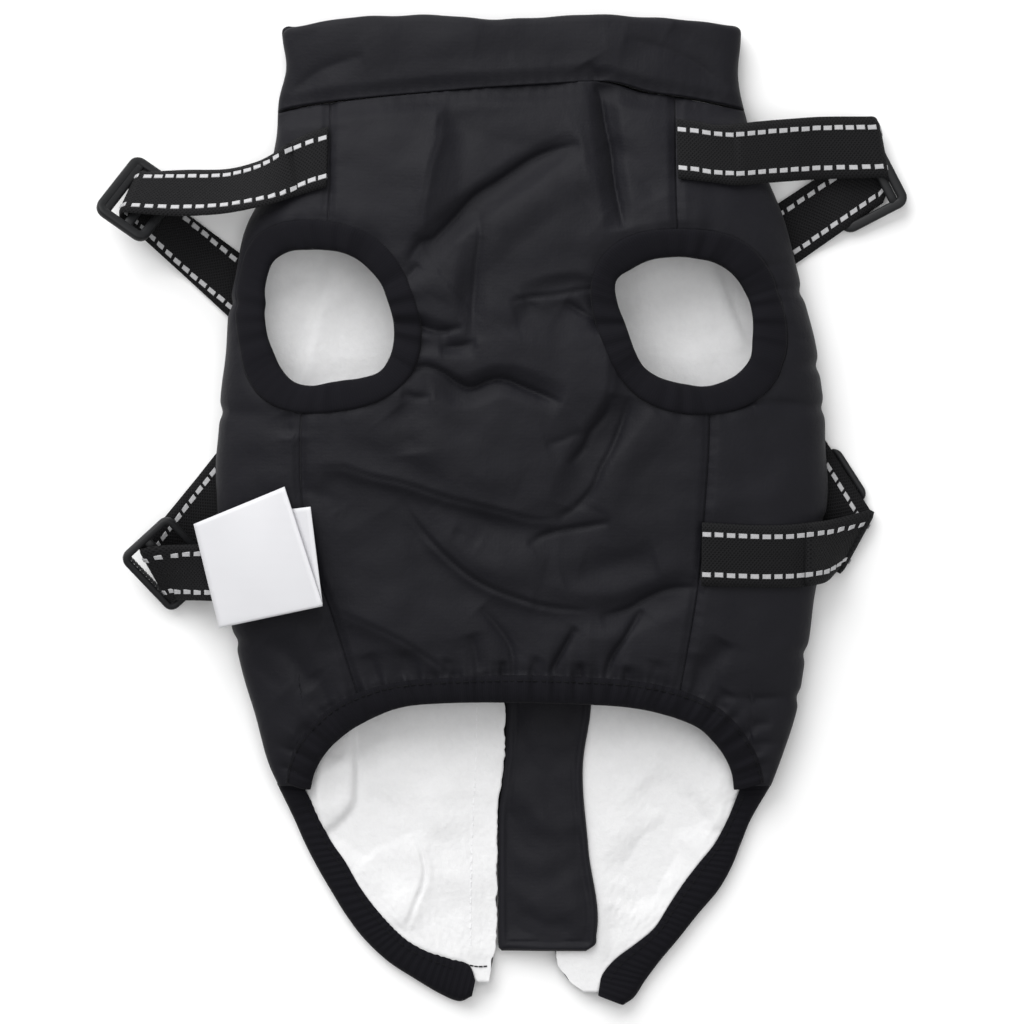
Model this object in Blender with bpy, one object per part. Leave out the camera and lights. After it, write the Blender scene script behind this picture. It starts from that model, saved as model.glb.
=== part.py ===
"""Dog winter coat: padded, fleece lined, laid flat on its back with the belly side up.

+X is to the right of the laid coat, +Y runs towards the collar and +Z is up, away from the floor.
Every size below is in millimetres; add_solid() turns points into Blender's metres.

The coat is a flattened tube. Its upper layer (collar, chest and side panels) is a low dome whose
cross-sections are superellipses between two side edges; its lower layer (back panels and lining)
lies flat and curls up to meet the upper layer at those side edges. Each piece of cloth is cut as a
flat pattern, meshed, and then laid on one of these two forms with its own wall thickness.
"""

import math

import bpy
import numpy as np
from mathutils import Vector
from mathutils.geometry import delaunay_2d_cdt

# ------------------------------------------------------------------ driving sizes, millimetres
SEAM_GAP = 0.3            # clear space between neighbouring pieces
SHELL = 3.0               # padded shell cloth
COLLAR_WALL = 4.5         # the collar is doubled
FLEECE = 1.5              # lining of the back
FLAP = 1.8                # zip guard flap
SEAM_Z = 6.5              # height of the side seam above the floor
CURL = 9.0                # width over which the back panels curl up to the side seam
CURL_ARC = 12.3           # length of cloth in that curl
BAND = 9.0                # width of the leg bands
BAND_WALL, BAND_SLOPE = 2.6, 1.6      # the bands slope down by this much towards the hole
HEM_WALL = 3.0
TAIL_BINDING_Z = 5.0      # height of the tail bindings, and how it grows where the tails begin
TAIL_BINDING_GROWS, TAIL_GROWS_FROM, TAIL_GROWS_OVER = 1.3, -100.0, 9.0
DOME = 2.5                # exponent of the upper layer's cross-section
BACK_TOP = 133.0          # y of the seam between back panels and back collar
BACK_STEP = 12.0          # size of the triangles on the flat back
GUIDE_APART = 4.0         # least distance between the points that guide them
COLLAR_TOP = 158.0
ZIP_LEFT, ZIP_RIGHT = -1.1, 17.6      # x of the two back edges that the zip joins
ZIP_END = -140.0
WEBBING, WEBBING_WALL = 20.0, 1.5     # width and thickness
LOOP_RADIUS = 2.6         # middle of the webbing, where it turns round a slider's bar
FOLD_RADIUS = 1.3         # the same, where it is only folded over

# side edges of the laid coat and height of its crown
SECTIONS = (
    # y, left x, right x, crown z
    (162.0, -70.8, 78.0, 16.0),
    (152.0, -70.6, 77.4, 18.5),
    (142.9, -69.6, 76.9, 19.5),
    (132.6, -71.5, 78.2, 20.0),
    (119.7, -72.6, 81.5, 25.0),
    (104.2, -76.2, 87.3, 28.5),
    (93.9, -81.6, 91.8, 30.0),
    (78.4, -85.3, 95.7, 30.5),
    (57.7, -88.2, 100.8, 31.0),
    (31.9, -90.8, 104.4, 30.5),
    (10.0, -91.8, 105.7, 29.0),
    (-12.0, -90.2, 103.8, 27.0),
    (-37.7, -86.6, 100.2, 24.5),
    (-61.0, -80.8, 96.0, 21.0),
    (-73.9, -77.4, 93.0, 18.0),
    (-84.2, -74.0, 89.2, 15.0),
    (-91.9, -70.4, 86.0, 12.5),
    (-99.7, -66.9, 81.2, 11.0),
    (-107.4, -63.4, 78.2, 10.0),
    (-122.9, -55.0, 70.5, 9.0),
    (-138.4, -44.4, 57.9, 8.0),
    (-151.3, -28.2, 46.5, 8.0),
    (-162.0, -8.0, 40.0, 8.0),
)

# seams drawn on the laid coat: rows of x, y
COLLAR_SEAM = ((-76.0, 127.5), (-71.5, 128.4), (-55.0, 131.3), (-16.3, 135.2), (12.0, 137.3),
               (32.1, 138.2), (45.0, 134.8), (56.3, 133.2), (78.0, 129.2), (84.0, 128.4))
COLLAR_EDGE = ((-76.0, 153.6), (-70.8, 155.0), (-64.7, 156.2), (-53.1, 158.1), (-38.9, 159.6),
               (-19.5, 159.8), (0.0, 158.4), (16.0, 159.5), (32.1, 159.9), (56.0, 158.4),
               (77.9, 156.2), (84.0, 155.0))
CHEST_SEAM_LEFT = ((-54.8, 140.0), (-55.0, 131.0), (-55.6, 92.3), (-60.0, 60.0), (-64.0, 32.6),
                   (-64.0, 3.5), (-60.0, -18.0), (-55.0, -31.3), (-46.3, -58.4), (-42.0, -66.0))
CHEST_SEAM_RIGHT = ((56.2, 140.0), (56.3, 133.2), (57.0, 89.0), (62.0, 60.0), (67.0, 32.6),
                    (65.4, -2.9), (63.4, -25.5), (58.0, -57.1), (56.0, -66.0))

# leg holes: middle, half width, half height, turn in degrees, exponent of the rounded outline
LEG_HOLES = {
    "left": dict(x=-57.6, y=61.9, across=21.9, along=22.0, turn=12.0, power=2.35),
    "right": dict(x=61.3, y=61.2, across=23.0, along=21.4, turn=-14.0, power=2.45),
}

# belly hem: the binding's open edge and its seam, from the left tip round to the right tip
BELLY_HEM = (
    # open x, open y, seam x, seam y
    (-63.4, -90.0, -69.6, -87.6),
    (-61.8, -84.5, -68.2, -81.0),
    (-58.6, -79.0, -65.3, -74.5),
    (-53.7, -73.9, -59.8, -67.7),
    (-46.0, -68.7, -51.1, -61.0),
    (-33.7, -63.5, -36.9, -55.8),
    (-19.5, -61.9, -20.8, -53.9),
    (3.1, -61.6, 3.1, -52.9),
    (28.9, -62.3, 29.5, -53.6),
    (43.7, -63.5, 46.6, -55.2),
    (55.3, -66.1, 59.8, -58.4),
    (64.4, -69.7, 69.5, -62.9),
    (69.5, -73.9, 75.6, -68.1),
    (73.7, -79.0, 80.5, -74.5),
    (76.3, -84.5, 83.6, -81.0),
    (77.2, -90.0, 85.2, -87.6),
)

# tail bindings: outer edge and inner edge, from the end of the belly hem to the tip of each tail
TAIL_LEFT = (
    # outer x, outer y, inner x, inner y
    (-71.4, -90.4, -63.2, -90.6),
    (-66.9, -99.7, -59.6, -97.5),
    (-63.5, -107.4, -55.4, -106.4),
    (-59.5, -115.2, -50.6, -113.4),
    (-55.0, -122.9, -46.0, -121.4),
    (-50.2, -130.7, -41.4, -127.8),
    (-44.4, -138.4, -36.0, -133.9),
    (-36.6, -145.8, -30.6, -138.9),
    (-28.2, -151.3, -24.0, -142.6),
    (-19.8, -156.3, -16.5, -145.0),
    (-13.5, -158.8, -10.4, -147.2),
    (-9.3, -157.2, -8.2, -152.0),
)
TAIL_RIGHT = (
    # outer x, outer y, inner x, inner y
    (86.6, -90.4, 77.4, -90.6),
    (81.2, -99.7, 74.2, -98.6),
    (78.0, -107.4, 69.8, -107.2),
    (74.9, -115.2, 64.8, -113.6),
    (70.5, -122.9, 59.6, -120.4),
    (63.9, -130.7, 54.8, -127.6),
    (57.8, -138.4, 50.0, -135.0),
    (52.4, -144.8, 43.4, -140.6),
    (49.0, -149.2, 37.4, -145.2),
    (46.4, -152.8, 33.4, -150.0),
    (43.4, -157.4, 32.4, -153.6),
    (39.8, -160.0, 31.9, -156.9),
)

# centre edges of the tails, from the collar down to the end of each tail binding
TAIL_EDGE_LEFT = ((ZIP_LEFT, BACK_TOP), (ZIP_LEFT, -110.0), (-1.4, -137.0), (-2.6, -146.0),
                  (-4.2, -152.6))
TAIL_EDGE_RIGHT = ((ZIP_RIGHT, BACK_TOP), (ZIP_RIGHT, -142.0), (18.6, -147.0), (22.0, -152.0),
                   (27.0, -155.8))

# creases and ridges of the upper layer: three or four points, then height (minus is a trough) and
# half width
FOLDS = (
    # name, points, height, half width
    ("shoulder ridge", ((-19.5, 122.9), (-21.0, 104.0), (-22.7, 87.4)), 2.5, 9.0),
    ("chest lap", ((26.0, 118.0), (8.0, 109.0), (-18.0, 90.0), (-29.0, 76.0)), -4.5, 6.5),
    ("chest roll", ((30.0, 111.0), (10.0, 99.0), (-12.0, 80.0), (-20.0, 68.0)), 3.0, 9.0),
    ("collar pleat", ((32.5, 137.0), (34.7, 118.0), (38.0, 90.0)), -5.0, 5.5),
    ("breast tuck", ((7.0, 68.5), (20.0, 72.0), (29.0, 70.5), (34.5, 58.0)), -4.0, 5.0),
    ("breast bone", ((-7.3, 88.0), (-9.5, 70.0), (-8.5, 54.0)), -2.5, 6.0),
    ("left arm upper", ((-29.0, 60.5), (-22.0, 58.5), (-16.5, 56.5)), -2.5, 4.0),
    ("left arm lower", ((-28.0, 53.0), (-18.0, 53.0), (-8.0, 51.5)), -2.5, 4.0),
    ("under chest", ((-30.0, 46.0), (-13.0, 38.0), (2.0, 42.0), (20.0, 35.0)), -4.0, 6.0),
    ("belly valley", ((46.0, 38.0), (33.0, 24.0), (27.0, 14.0), (22.0, 2.0)), -5.5, 8.0),
    ("belly valley bank", ((52.0, 30.0), (40.0, 17.0), (31.0, 0.0)), 2.5, 8.0),
    ("belly sweep", ((-56.0, 22.0), (-30.0, 13.0), (0.0, -6.0), (26.0, 4.0)), -3.8, 6.5),
    ("belly sweep bank", ((-50.0, 30.0), (-24.0, 22.0), (6.0, 8.0)), 2.2, 9.0),
    ("navel tuck", ((8.5, -11.0), (16.0, -7.0), (23.0, -5.0)), -2.0, 4.0),
    ("lower sweep left", ((-32.0, 4.0), (-22.0, -13.0), (-5.0, -26.0), (14.0, -30.0)), -3.8, 8.0),
    ("lower sweep right", ((10.0, -30.0), (32.0, -34.0), (48.0, -30.0), (64.0, -23.0)), -3.8, 8.0),
    ("lower hollow", ((26.0, -17.0), (38.0, -20.0), (50.0, -16.0)), -2.0, 8.0),
    ("lower roll", ((-20.0, 2.0), (-6.0, -14.0), (14.0, -20.0)), 2.2, 9.0),
    ("left flank", ((-84.0, 31.0), (-76.0, 30.0), (-68.0, 31.0)), -1.5, 4.0),
    ("right flank", ((70.0, 33.0), (86.0, 34.0), (101.0, 34.0)), -1.5, 4.0),
    ("right haunch", ((72.0, -42.0), (66.0, -50.0), (62.0, -57.0)), -2.5, 5.0),
    ("right hip line", ((74.0, -60.0), (84.0, -60.5), (92.0, -60.0)), -1.2, 3.5),
    ("left haunch", ((-70.0, -40.0), (-64.0, -50.0), (-62.0, -58.0)), -2.0, 5.0),
)
SEAM_DIPS = (
    # seam, depth, half width
    (COLLAR_SEAM, 3.0, 8.0),
    (CHEST_SEAM_LEFT, 1.0, 4.0),
    (CHEST_SEAM_RIGHT, 1.0, 4.0),
)
HEM_GATHERS, GATHER_DEPTH, GATHER_REACH = 13, 1.3, 15.0

# harness webbing: each row gives the two edges of the strip in x, y, z; z None means that the row
# lies on the coat. The last front row is where the strip turns back, over a bend of the given
# radius; the end row is where it ends under the side of the coat. The return sinks to the floor
# between the two shares of its length in sinks. A slider lies turned, in degrees, from its strap's
# bend; the one whose turn is None lies flat round the return, with thin bars under the webbing.
REST_Z = 0.85             # middle of webbing that lies on the floor
STRAPS = {
    "upper_left": dict(
        front=((-55.3, 123.6, None, -55.8, 104.0, None),
               (-62.0, 121.4, None, -60.6, 102.6, None),
               (-68.6, 118.2, 19.2, -66.0, 101.0, 23.0),
               (-74.0, 114.6, 15.2, -71.6, 99.2, 23.0),
               (-80.0, 112.2, 11.0, -79.0, 97.4, 22.0),
               (-89.0, 110.4, 7.6, -90.0, 95.6, 19.6),
               (-102.0, 110.2, 7.0, -104.0, 95.0, 18.4),
               (-114.4, 109.6, 6.9, -119.6, 96.0, 18.1)),
        end=(-67.3, 70.8, REST_Z, -79.5, 55.0, REST_Z),
        bend=LOOP_RADIUS, sinks=(0.0, 0.48), turn=-14.0),
    "upper_right": dict(
        front=((56.5, 126.0, None, 57.0, 106.6, None),
               (63.0, 125.2, None, 63.0, 106.0, None),
               (69.0, 124.2, None, 69.0, 105.4, None),
               (76.0, 124.6, 18.6, 76.0, 104.6, 22.0),
               (84.0, 125.6, 15.0, 84.0, 105.4, 17.6),
               (94.0, 126.6, 11.6, 94.0, 106.4, 12.6),
               (104.0, 127.4, 8.6, 104.0, 107.2, 8.6),
               (117.6, 127.6, 6.6, 122.0, 107.8, 6.6)),
        end=(71.8, 87.8, REST_Z, 82.7, 71.0, REST_Z),
        bend=LOOP_RADIUS, sinks=(0.0, 0.48), turn=14.0),
    "lower_left": dict(
        front=((-63.0, -9.8, None, -63.0, -28.8, None),
               (-70.0, -10.0, None, -70.0, -29.0, None),
               (-77.0, -10.2, None, -77.0, -29.2, None),
               (-83.0, -10.4, None, -83.0, -29.2, None),
               (-90.0, -10.6, 18.6, -90.0, -29.0, 17.6),
               (-98.0, -10.8, 17.4, -98.0, -28.8, 12.4),
               (-106.0, -11.0, 15.8, -104.0, -28.8, 7.4),
               (-113.6, -11.6, 14.6, -104.4, -28.6, 5.8)),
        end=(-78.9, 35.6, REST_Z, -63.6, 22.7, REST_Z),
        bend=LOOP_RADIUS, sinks=(0.0, 0.48), turn=14.0),
    "lower_right": dict(
        front=((64.6, -3.6, None, 64.4, -24.0, None),
               (71.0, -4.0, None, 71.0, -24.2, None),
               (78.0, -4.4, None, 78.0, -24.4, None),
               (85.0, -4.6, None, 85.0, -24.6, None),
               (92.0, -4.4, None, 92.0, -24.6, None),
               (98.6, -3.8, 19.2, 98.4, -24.2, 18.2),
               (107.4, -2.6, 12.6, 104.8, -22.9, 12.0),
               (119.7, 0.4, 4.8, 108.7, -19.6, 4.8)),
        end=(92.7, 42.5, REST_Z, 75.9, 31.7, REST_Z),
        bend=FOLD_RADIUS, sinks=(0.585, 0.80), turn=None),
}
STRAP_REST = 0.5          # clear space between webbing and panel
RETURN_ROWS = 12          # rows from the bend back under the coat
BAR_LENGTH = 23.6         # inside length of a slider's slots
SLIDER_RIM, SLIDER_CORNER = 2.6, 3.0
SLIDER_THICK = 2.8
SLIDER_ACROSS = ((6.1, 8.8), (-4.6, -1.7), (-11.0, -7.6))    # outer, middle and inner bar

# the slider that lies flat under the coat's side: how far along the return, the webbing's slack to
# one side of its slots, its height above the floor, and its thin bars
FLAT_SLIDER = "lower_right"
SLIDER_ALONG, SLIDER_SLACK, SLIDER_CLEAR, THIN_BAR = 12.5, 0.9, 0.1, 1.0
# the back panel stands over that slider: height, then where the rise is full and how wide it fades,
# along the return and across it from the slider's middle
RISE, RISE_FROM, RISE_TO, RISE_BESIDE, RISE_FADE = 3.45, -16.0, 15.0, -15.5, 14.0

# care label: bottom fold, then the tops of the back and the front leaf, as left and right x, y
LABEL_FOLD = (-90.6, -36.8, -56.9, -29.6)
LABEL_BACK_TOP = (-94.8, -1.8, -60.8, 1.4)
LABEL_FRONT_TOP = (-98.6, -4.2, -69.2, 7.8)
LABEL_WALL, LABEL_LOOP, LABEL_REST = 0.6, 0.7, 0.5

# zip guard: height over the left lining, its climb on to the right one, and where that climb is
GUARD_Z, GUARD_CLIMB, GUARD_CLIMB_FROM, GUARD_CLIMB_TO = 3.15, 2.0, 1.0, 14.0

# zip parts
CHAIN_X, CHAIN_WIDTH = 8.25, 5.8
CHAIN_Z = (1.5, 3.1)
TAPE_Z = (2.0, 2.8)
ZIP_SLIDER = dict(y=147.0, length=11.0, width=8.6, bottom=1.9, top=4.0)
PULL_PIVOT = (CHAIN_X, 146.0, 1.15)
PULL_RADIUS, PULL_ROOT, PULL_WIDTH, PULL_LENGTH = 0.6, 3.2, 5.2, 21.0
LUG_WIDTH, LUG_LENGTH, LUG_BOTTOM = 1.1, 2.6, 0.45

# ------------------------------------------------------------------ finishes
FINISHES = {
    # name: colour, roughness
    "shell": ((0.020, 0.020, 0.024), 0.55),
    "rib": ((0.010, 0.010, 0.013), 0.85),
    "fleece": ((0.86, 0.86, 0.86), 0.95),
    "webbing": ((0.013, 0.013, 0.015), 0.75),
    "plastic": ((0.022, 0.023, 0.025), 0.40),
    "tape": ((0.015, 0.015, 0.018), 0.80),
    "label": ((0.90, 0.90, 0.93), 0.60),
}


def finish(name):
    """One Principled material for each finish, made when it is first asked for."""
    material = bpy.data.materials.get(name)
    if material is None:
        material = bpy.data.materials.new(name)
        material.use_nodes = True
        colour, roughness = FINISHES[name]
        shader = material.node_tree.nodes["Principled BSDF"]
        shader.inputs["Base Color"].default_value = (*colour, 1.0)
        shader.inputs["Roughness"].default_value = roughness
        shader.inputs["Metallic"].default_value = 0.0
    return material


def add_solid(name, points, faces, finish_name):
    """Put points in millimetres and faces into a mesh object of that name."""
    mesh = bpy.data.meshes.new(name)
    mesh.from_pydata((np.asarray(points, float) * 0.001).tolist(), [], [list(f) for f in faces])
    mesh.validate()
    mesh.update()
    mesh.materials.append(finish(finish_name))
    mesh.shade_smooth()
    mesh.set_sharp_from_angle(angle=math.radians(40.0))
    solid = bpy.data.objects.new(name, mesh)
    bpy.context.scene.collection.objects.link(solid)
    return solid


# ------------------------------------------------------------------ curves
CROWDED = 0.9             # points of an outline closer than this are one point
SLIVER = 0.02             # twice the area of the smallest triangle kept


def smooth_table(rows, column, y):
    """Read one column of a table at y, on a cubic through its rows with averaged slopes."""
    table = np.array(rows, float)
    table = table[np.argsort(table[:, 0])]
    at, value = table[:, 0], table[:, column]
    slope = np.gradient(value, at)
    y = np.clip(y, at[0], at[-1])
    i = np.clip(np.searchsorted(at, y) - 1, 0, len(at) - 2)
    step = at[i + 1] - at[i]
    t = (y - at[i]) / step
    return ((2 * t**3 - 3 * t**2 + 1) * value[i] + (t**3 - 2 * t**2 + t) * step * slope[i]
            + (3 * t**2 - 2 * t**3) * value[i + 1] + (t**3 - t**2) * step * slope[i + 1])


def curve_through(points, count):
    """Points evenly spaced along a Catmull-Rom curve through the given ones."""
    p = np.array(points, float)
    p = np.vstack([2 * p[0] - p[1], p, 2 * p[-1] - p[-2]])
    pieces = []
    for k in range(1, len(p) - 2):
        t = np.linspace(0.0, 1.0, 16, endpoint=False)[:, None]
        a, b, c, d = p[k - 1], p[k], p[k + 1], p[k + 2]
        pieces.append(0.5 * (2 * b + (c - a) * t + (2 * a - 5 * b + 4 * c - d) * t**2
                             + (3 * b - a - 3 * c + d) * t**3))
    path = np.vstack(pieces + [p[-2:-1]])
    run = np.concatenate([[0.0], np.cumsum(np.linalg.norm(np.diff(path, axis=0), axis=1))])
    at = np.linspace(0.0, run[-1], count)
    return np.column_stack([np.interp(at, run, path[:, k]) for k in range(path.shape[1])])


def soft_step(t):
    """0 below 0, 1 above 1, and smooth between."""
    t = np.clip(t, 0.0, 1.0)
    return t * t * (3 - 2 * t)


def unit(v):
    return v / np.linalg.norm(v)


def distance_to(points, path):
    """Distance of each point to a polyline, and how far along it the nearest place is, 0 to 1."""
    best = np.full(len(points), 1e9)
    along = np.zeros(len(points))
    count = len(path) - 1
    for k in range(count):
        a, b = path[k], path[k + 1]
        t = np.clip(((points - a) @ (b - a)) / max((b - a) @ (b - a), 1e-12), 0.0, 1.0)
        d = np.linalg.norm(points - a - t[:, None] * (b - a), axis=1)
        nearer = d < best
        best[nearer] = d[nearer]
        along[nearer] = (k + t[nearer]) / count
    return best, along


# ------------------------------------------------------------------ the two forms
def half_width(y):
    return 0.5 * (smooth_table(SECTIONS, 2, y) - smooth_table(SECTIONS, 1, y))


def middle(y):
    return 0.5 * (smooth_table(SECTIONS, 2, y) + smooth_table(SECTIONS, 1, y))


def dome_profile():
    """Superellipse through (-1, 0), (0, 1) and (1, 0), as places evenly spaced along its length."""
    angle = np.linspace(0.0, math.pi, 721)
    x = -np.sign(np.cos(angle)) * np.abs(np.cos(angle)) ** (2 / DOME)
    z = np.sin(angle) ** (2 / DOME)
    run = np.concatenate([[0.0], np.cumsum(np.hypot(np.diff(x), 0.25 * np.diff(z)))])
    return 2 * run / run[-1] - 1, x, z, 0.5 * run[-1]


PROFILE_AT, PROFILE_X, PROFILE_Z, PROFILE_HALF = dome_profile()


def top_pattern(xy):
    """Lay a plan point of the upper layer out flat: distance along the cross-section, and y."""
    xy = np.asarray(xy, float)
    across = np.clip((xy[:, 0] - middle(xy[:, 1])) / half_width(xy[:, 1]), -1.0, 1.0)
    at = np.interp(across, PROFILE_X, PROFILE_AT)
    return np.column_stack([at * PROFILE_HALF * half_width(xy[:, 1]), xy[:, 1]])


def fold_relief(xy):
    """Height that the creases, ridges, seam dips and hem gathers add at plan points."""
    height = np.zeros(len(xy))
    for _name, points, rise, reach in FOLDS:
        away, along = distance_to(xy, curve_through(points, 13))
        bump = np.clip(1 - (away / reach) ** 2, 0.0, 1.0) ** 2
        height += rise * bump * np.clip(4 * along * (1 - along), 0.0, 1.0) ** 0.5
    for seam, depth, reach in SEAM_DIPS:
        away, _along = distance_to(xy, np.array(seam, float))
        height -= depth * np.clip(1 - (away / reach) ** 2, 0.0, 1.0) ** 2
    hem = np.array(BELLY_HEM, float)[:, 2:4]
    away, along = distance_to(xy, hem)
    wave = np.sin(2 * math.pi * HEM_GATHERS * along + 1.3 * np.sin(9 * along))
    height += GATHER_DEPTH * wave * np.clip(1 - away / GATHER_REACH, 0.0, 1.0)
    return height


def on_top(pattern, depth):
    """Fold a pattern of the upper layer over its dome, depth below the outer face."""
    s, y = np.asarray(pattern, float).T
    half, mid = half_width(y), middle(y)
    at = np.clip(s / (PROFILE_HALF * half), -1.0, 1.0)
    x_unit, z_unit = np.interp(at, PROFILE_AT, PROFILE_X), np.interp(at, PROFILE_AT, PROFILE_Z)
    crown = smooth_table(SECTIONS, 3, y)
    relief = fold_relief(np.column_stack([mid + half * x_unit, y])) * np.clip(1.6 * z_unit, 0, 1)
    return np.column_stack([mid + (half - depth) * x_unit, y,
                            SEAM_Z + 0.5 * SEAM_GAP + (crown - SEAM_Z - depth) * z_unit + relief])


def curl(y):
    """1 where the back panel curls up to the side seam, fading to 0 along the tails."""
    return soft_step((np.asarray(y, float) + 92.0) / 14.0)


def back_pattern(xy):
    """Lay a plan point of the lower layer out flat: distance from the middle line, and y."""
    xy = np.asarray(xy, float)
    y = xy[:, 1]
    off = xy[:, 0] - middle(y)
    flat = half_width(y) - CURL
    beyond = np.clip((np.abs(off) - flat) / CURL, 0.0, 1.0)
    bent = 2 / math.pi * np.arcsin(beyond)
    part = curl(y) * bent + (1 - curl(y)) * beyond
    length = CURL + (CURL_ARC - CURL) * curl(y)
    return np.column_stack([np.sign(off) * (np.minimum(np.abs(off), flat) + part * length), y])


def flat_slider_place():
    """Middle of the slider under the coat's side, and the ways along and across its webbing."""
    strap = STRAPS[FLAT_SLIDER]
    bend, end = np.array(strap["front"][-1][:2]), np.array(strap["end"][:2])
    run = unit(end - bend)
    across = np.array((run[1], -run[0]))
    return bend + SLIDER_ALONG * run - (0.5 * WEBBING + SLIDER_SLACK) * across, run, across


def over_slider(xy):
    """How far the back panel stands up over that slider at plan points."""
    place, run, across = flat_slider_place()
    along, beside = (xy - place) @ run, (xy - place) @ across
    return (RISE * soft_step((along - RISE_FROM) / RISE_FADE + 1)
            * soft_step((RISE_TO - along) / RISE_FADE + 1)
            * soft_step((beside - RISE_BESIDE) / RISE_FADE + 1))


def on_back(pattern, rise):
    """Lay a pattern of the lower layer on the floor, rise above its under face."""
    p, y = np.asarray(pattern, float).T
    flat = half_width(y) - CURL
    length = CURL + (CURL_ARC - CURL) * curl(y)
    part = np.clip((np.abs(p) - flat) / length, 0.0, 1.0)
    angle = 0.5 * math.pi * part
    bent = (CURL - rise) * np.sin(angle)
    reach = curl(y) * bent + (1 - curl(y)) * CURL * part
    x = middle(y) + np.sign(p) * (np.minimum(np.abs(p), flat) + reach)
    top = SEAM_Z - 0.5 * SEAM_GAP
    rise = rise + over_slider(np.column_stack([x, y]))
    return np.column_stack([x, y, rise + curl(y) * (top - rise) * (1 - np.cos(angle))])


# ------------------------------------------------------------------ cutting and laying cloth
def inside(points, outline):
    """Which points lie inside a closed outline, by counting crossings."""
    x, y = points[:, 0], points[:, 1]
    within = np.zeros(len(points), bool)
    for (x0, y0), (x1, y1) in zip(outline, np.roll(outline, -1, axis=0)):
        crosses = (y0 > y) != (y1 > y)
        if y0 != y1:
            within ^= crosses & (x < x0 + (y - y0) * (x1 - x0) / (y1 - y0))
    return within


def resampled(outline, step, closed=True):
    """An outline, or an open line, with its corners kept and its longer sides divided."""
    outline = np.asarray(outline, float)
    after = np.roll(outline, -1, axis=0) if closed else outline[1:]
    points = []
    for a, b in zip(outline, after):
        count = max(1, int(round(np.linalg.norm(b - a) / step)))
        points.extend(a + (b - a) * k / count for k in range(count))
    return np.array(points if closed else points + [outline[-1]])


def inset(outline, amount):
    """Move each side of a closed outline inwards by amount (outwards if it is negative)."""
    outline = np.asarray(outline, float)
    before, after = np.roll(outline, 1, axis=0), np.roll(outline, -1, axis=0)
    area = 0.5 * np.sum(outline[:, 0] * after[:, 1] - after[:, 0] * outline[:, 1])
    turn = 1.0 if area > 0 else -1.0

    def inward(a, b):
        side = b - a
        side = side / np.linalg.norm(side, axis=1)[:, None]
        return turn * np.column_stack([-side[:, 1], side[:, 0]])

    one, two = inward(before, outline), inward(outline, after)
    lean = one + two
    return outline + amount * 2 * lean / np.maximum(np.sum(lean * lean, axis=1), 0.8)[:, None]


def joined(*parts):
    """One closed outline from its stretches, less any point that crowds the one before it."""
    points = np.vstack(parts)
    apart = np.linalg.norm(points - np.roll(points, 1, axis=0), axis=1)
    return points[apart > CROWDED]


def cut(outline, holes, step, guides=()):
    """Triangulate a pattern: its outline less the holes, with extra points along the guides."""
    outline = resampled(np.asarray(outline, float), step)
    loops = [outline] + [np.asarray(hole, float) for hole in holes]
    low, high = outline.min(axis=0), outline.max(axis=0)
    grid = np.stack(np.meshgrid(np.arange(low[0], high[0], step), np.arange(low[1], high[1], step)),
                    axis=-1).reshape(-1, 2)
    inner = [np.asarray(g, float) for g in guides]
    if inner:
        guide_points = np.vstack(inner)
        gap = np.linalg.norm(grid[:, None] - guide_points[None], axis=2).min(axis=1)
        grid = np.vstack([guide_points, grid[gap > 0.6 * step]])
    keep = inside(grid, outline)
    for hole in loops[1:]:
        keep &= ~inside(grid, hole)
    for loop in loops:
        keep &= distance_to(grid, np.vstack([loop, loop[:1]]))[0] > 0.45 * step
    grid = grid[keep]
    verts, edges = [], []
    for loop in loops:
        start = len(verts)
        verts.extend(Vector(p) for p in loop)
        edges.extend((start + k, start + (k + 1) % len(loop)) for k in range(len(loop)))
    verts.extend(Vector(p) for p in grid)
    out, _edges, faces, *_rest = delaunay_2d_cdt(verts, edges, [], 0, 1e-5)
    points = np.array([tuple(v) for v in out])
    faces = np.array([f for f in faces if len(f) == 3])
    centre = points[faces].mean(axis=1)
    keep = inside(centre, outline)
    for hole in loops[1:]:
        keep &= ~inside(centre, hole)
    faces = faces[keep]
    a, b, c = (points[faces[:, k]] for k in range(3))
    twice = (b[:, 0] - a[:, 0]) * (c[:, 1] - a[:, 1]) - (b[:, 1] - a[:, 1]) * (c[:, 0] - a[:, 0])
    faces[twice < 0] = faces[twice < 0][:, ::-1]
    faces = faces[np.abs(twice) > SLIVER]
    used, index = np.unique(faces, return_inverse=True)
    return points[used], index.reshape(faces.shape)


def wall(name, pattern, upper, lower, finish_name):
    """A sheet of cloth: the pattern's triangles on two faces, joined round every edge."""
    points, faces = pattern
    count = len(points)
    sides = {}
    for a, b, c in faces.tolist():
        for edge in ((a, b), (b, c), (c, a)):
            sides[edge] = True
    rim = [(a, b) for a, b in sides if (b, a) not in sides]
    shell = faces.tolist() + (faces[:, ::-1] + count).tolist()
    for a, b in rim:
        shell += [(b, a, a + count), (b, a + count, b + count)]
    return add_solid(name, np.vstack([upper(points), lower(points)]), shell, finish_name)


def strip(name, rings, closed, finish_name):
    """A bar through closed cross-sections: rings[i][j] is point j of section i."""
    rings = np.asarray(rings, float)
    rows, corners = rings.shape[:2]
    faces = []
    for i in range(rows if closed else rows - 1):
        for j in range(corners):
            a, b = i * corners + j, i * corners + (j + 1) % corners
            c, d = ((i + 1) % rows) * corners + (j + 1) % corners, ((i + 1) % rows) * corners + j
            faces += [(a, b, c), (a, c, d)]
    if not closed:
        last = (rows - 1) * corners
        for j in range(1, corners - 1):
            faces.append((0, j + 1, j))
            faces.append((last, last + j, last + j + 1))
    solid = add_solid(name, rings.reshape(-1, 3), faces, finish_name)
    if signed_volume(solid) < 0:
        solid.data.flip_normals()
    return solid


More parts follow.
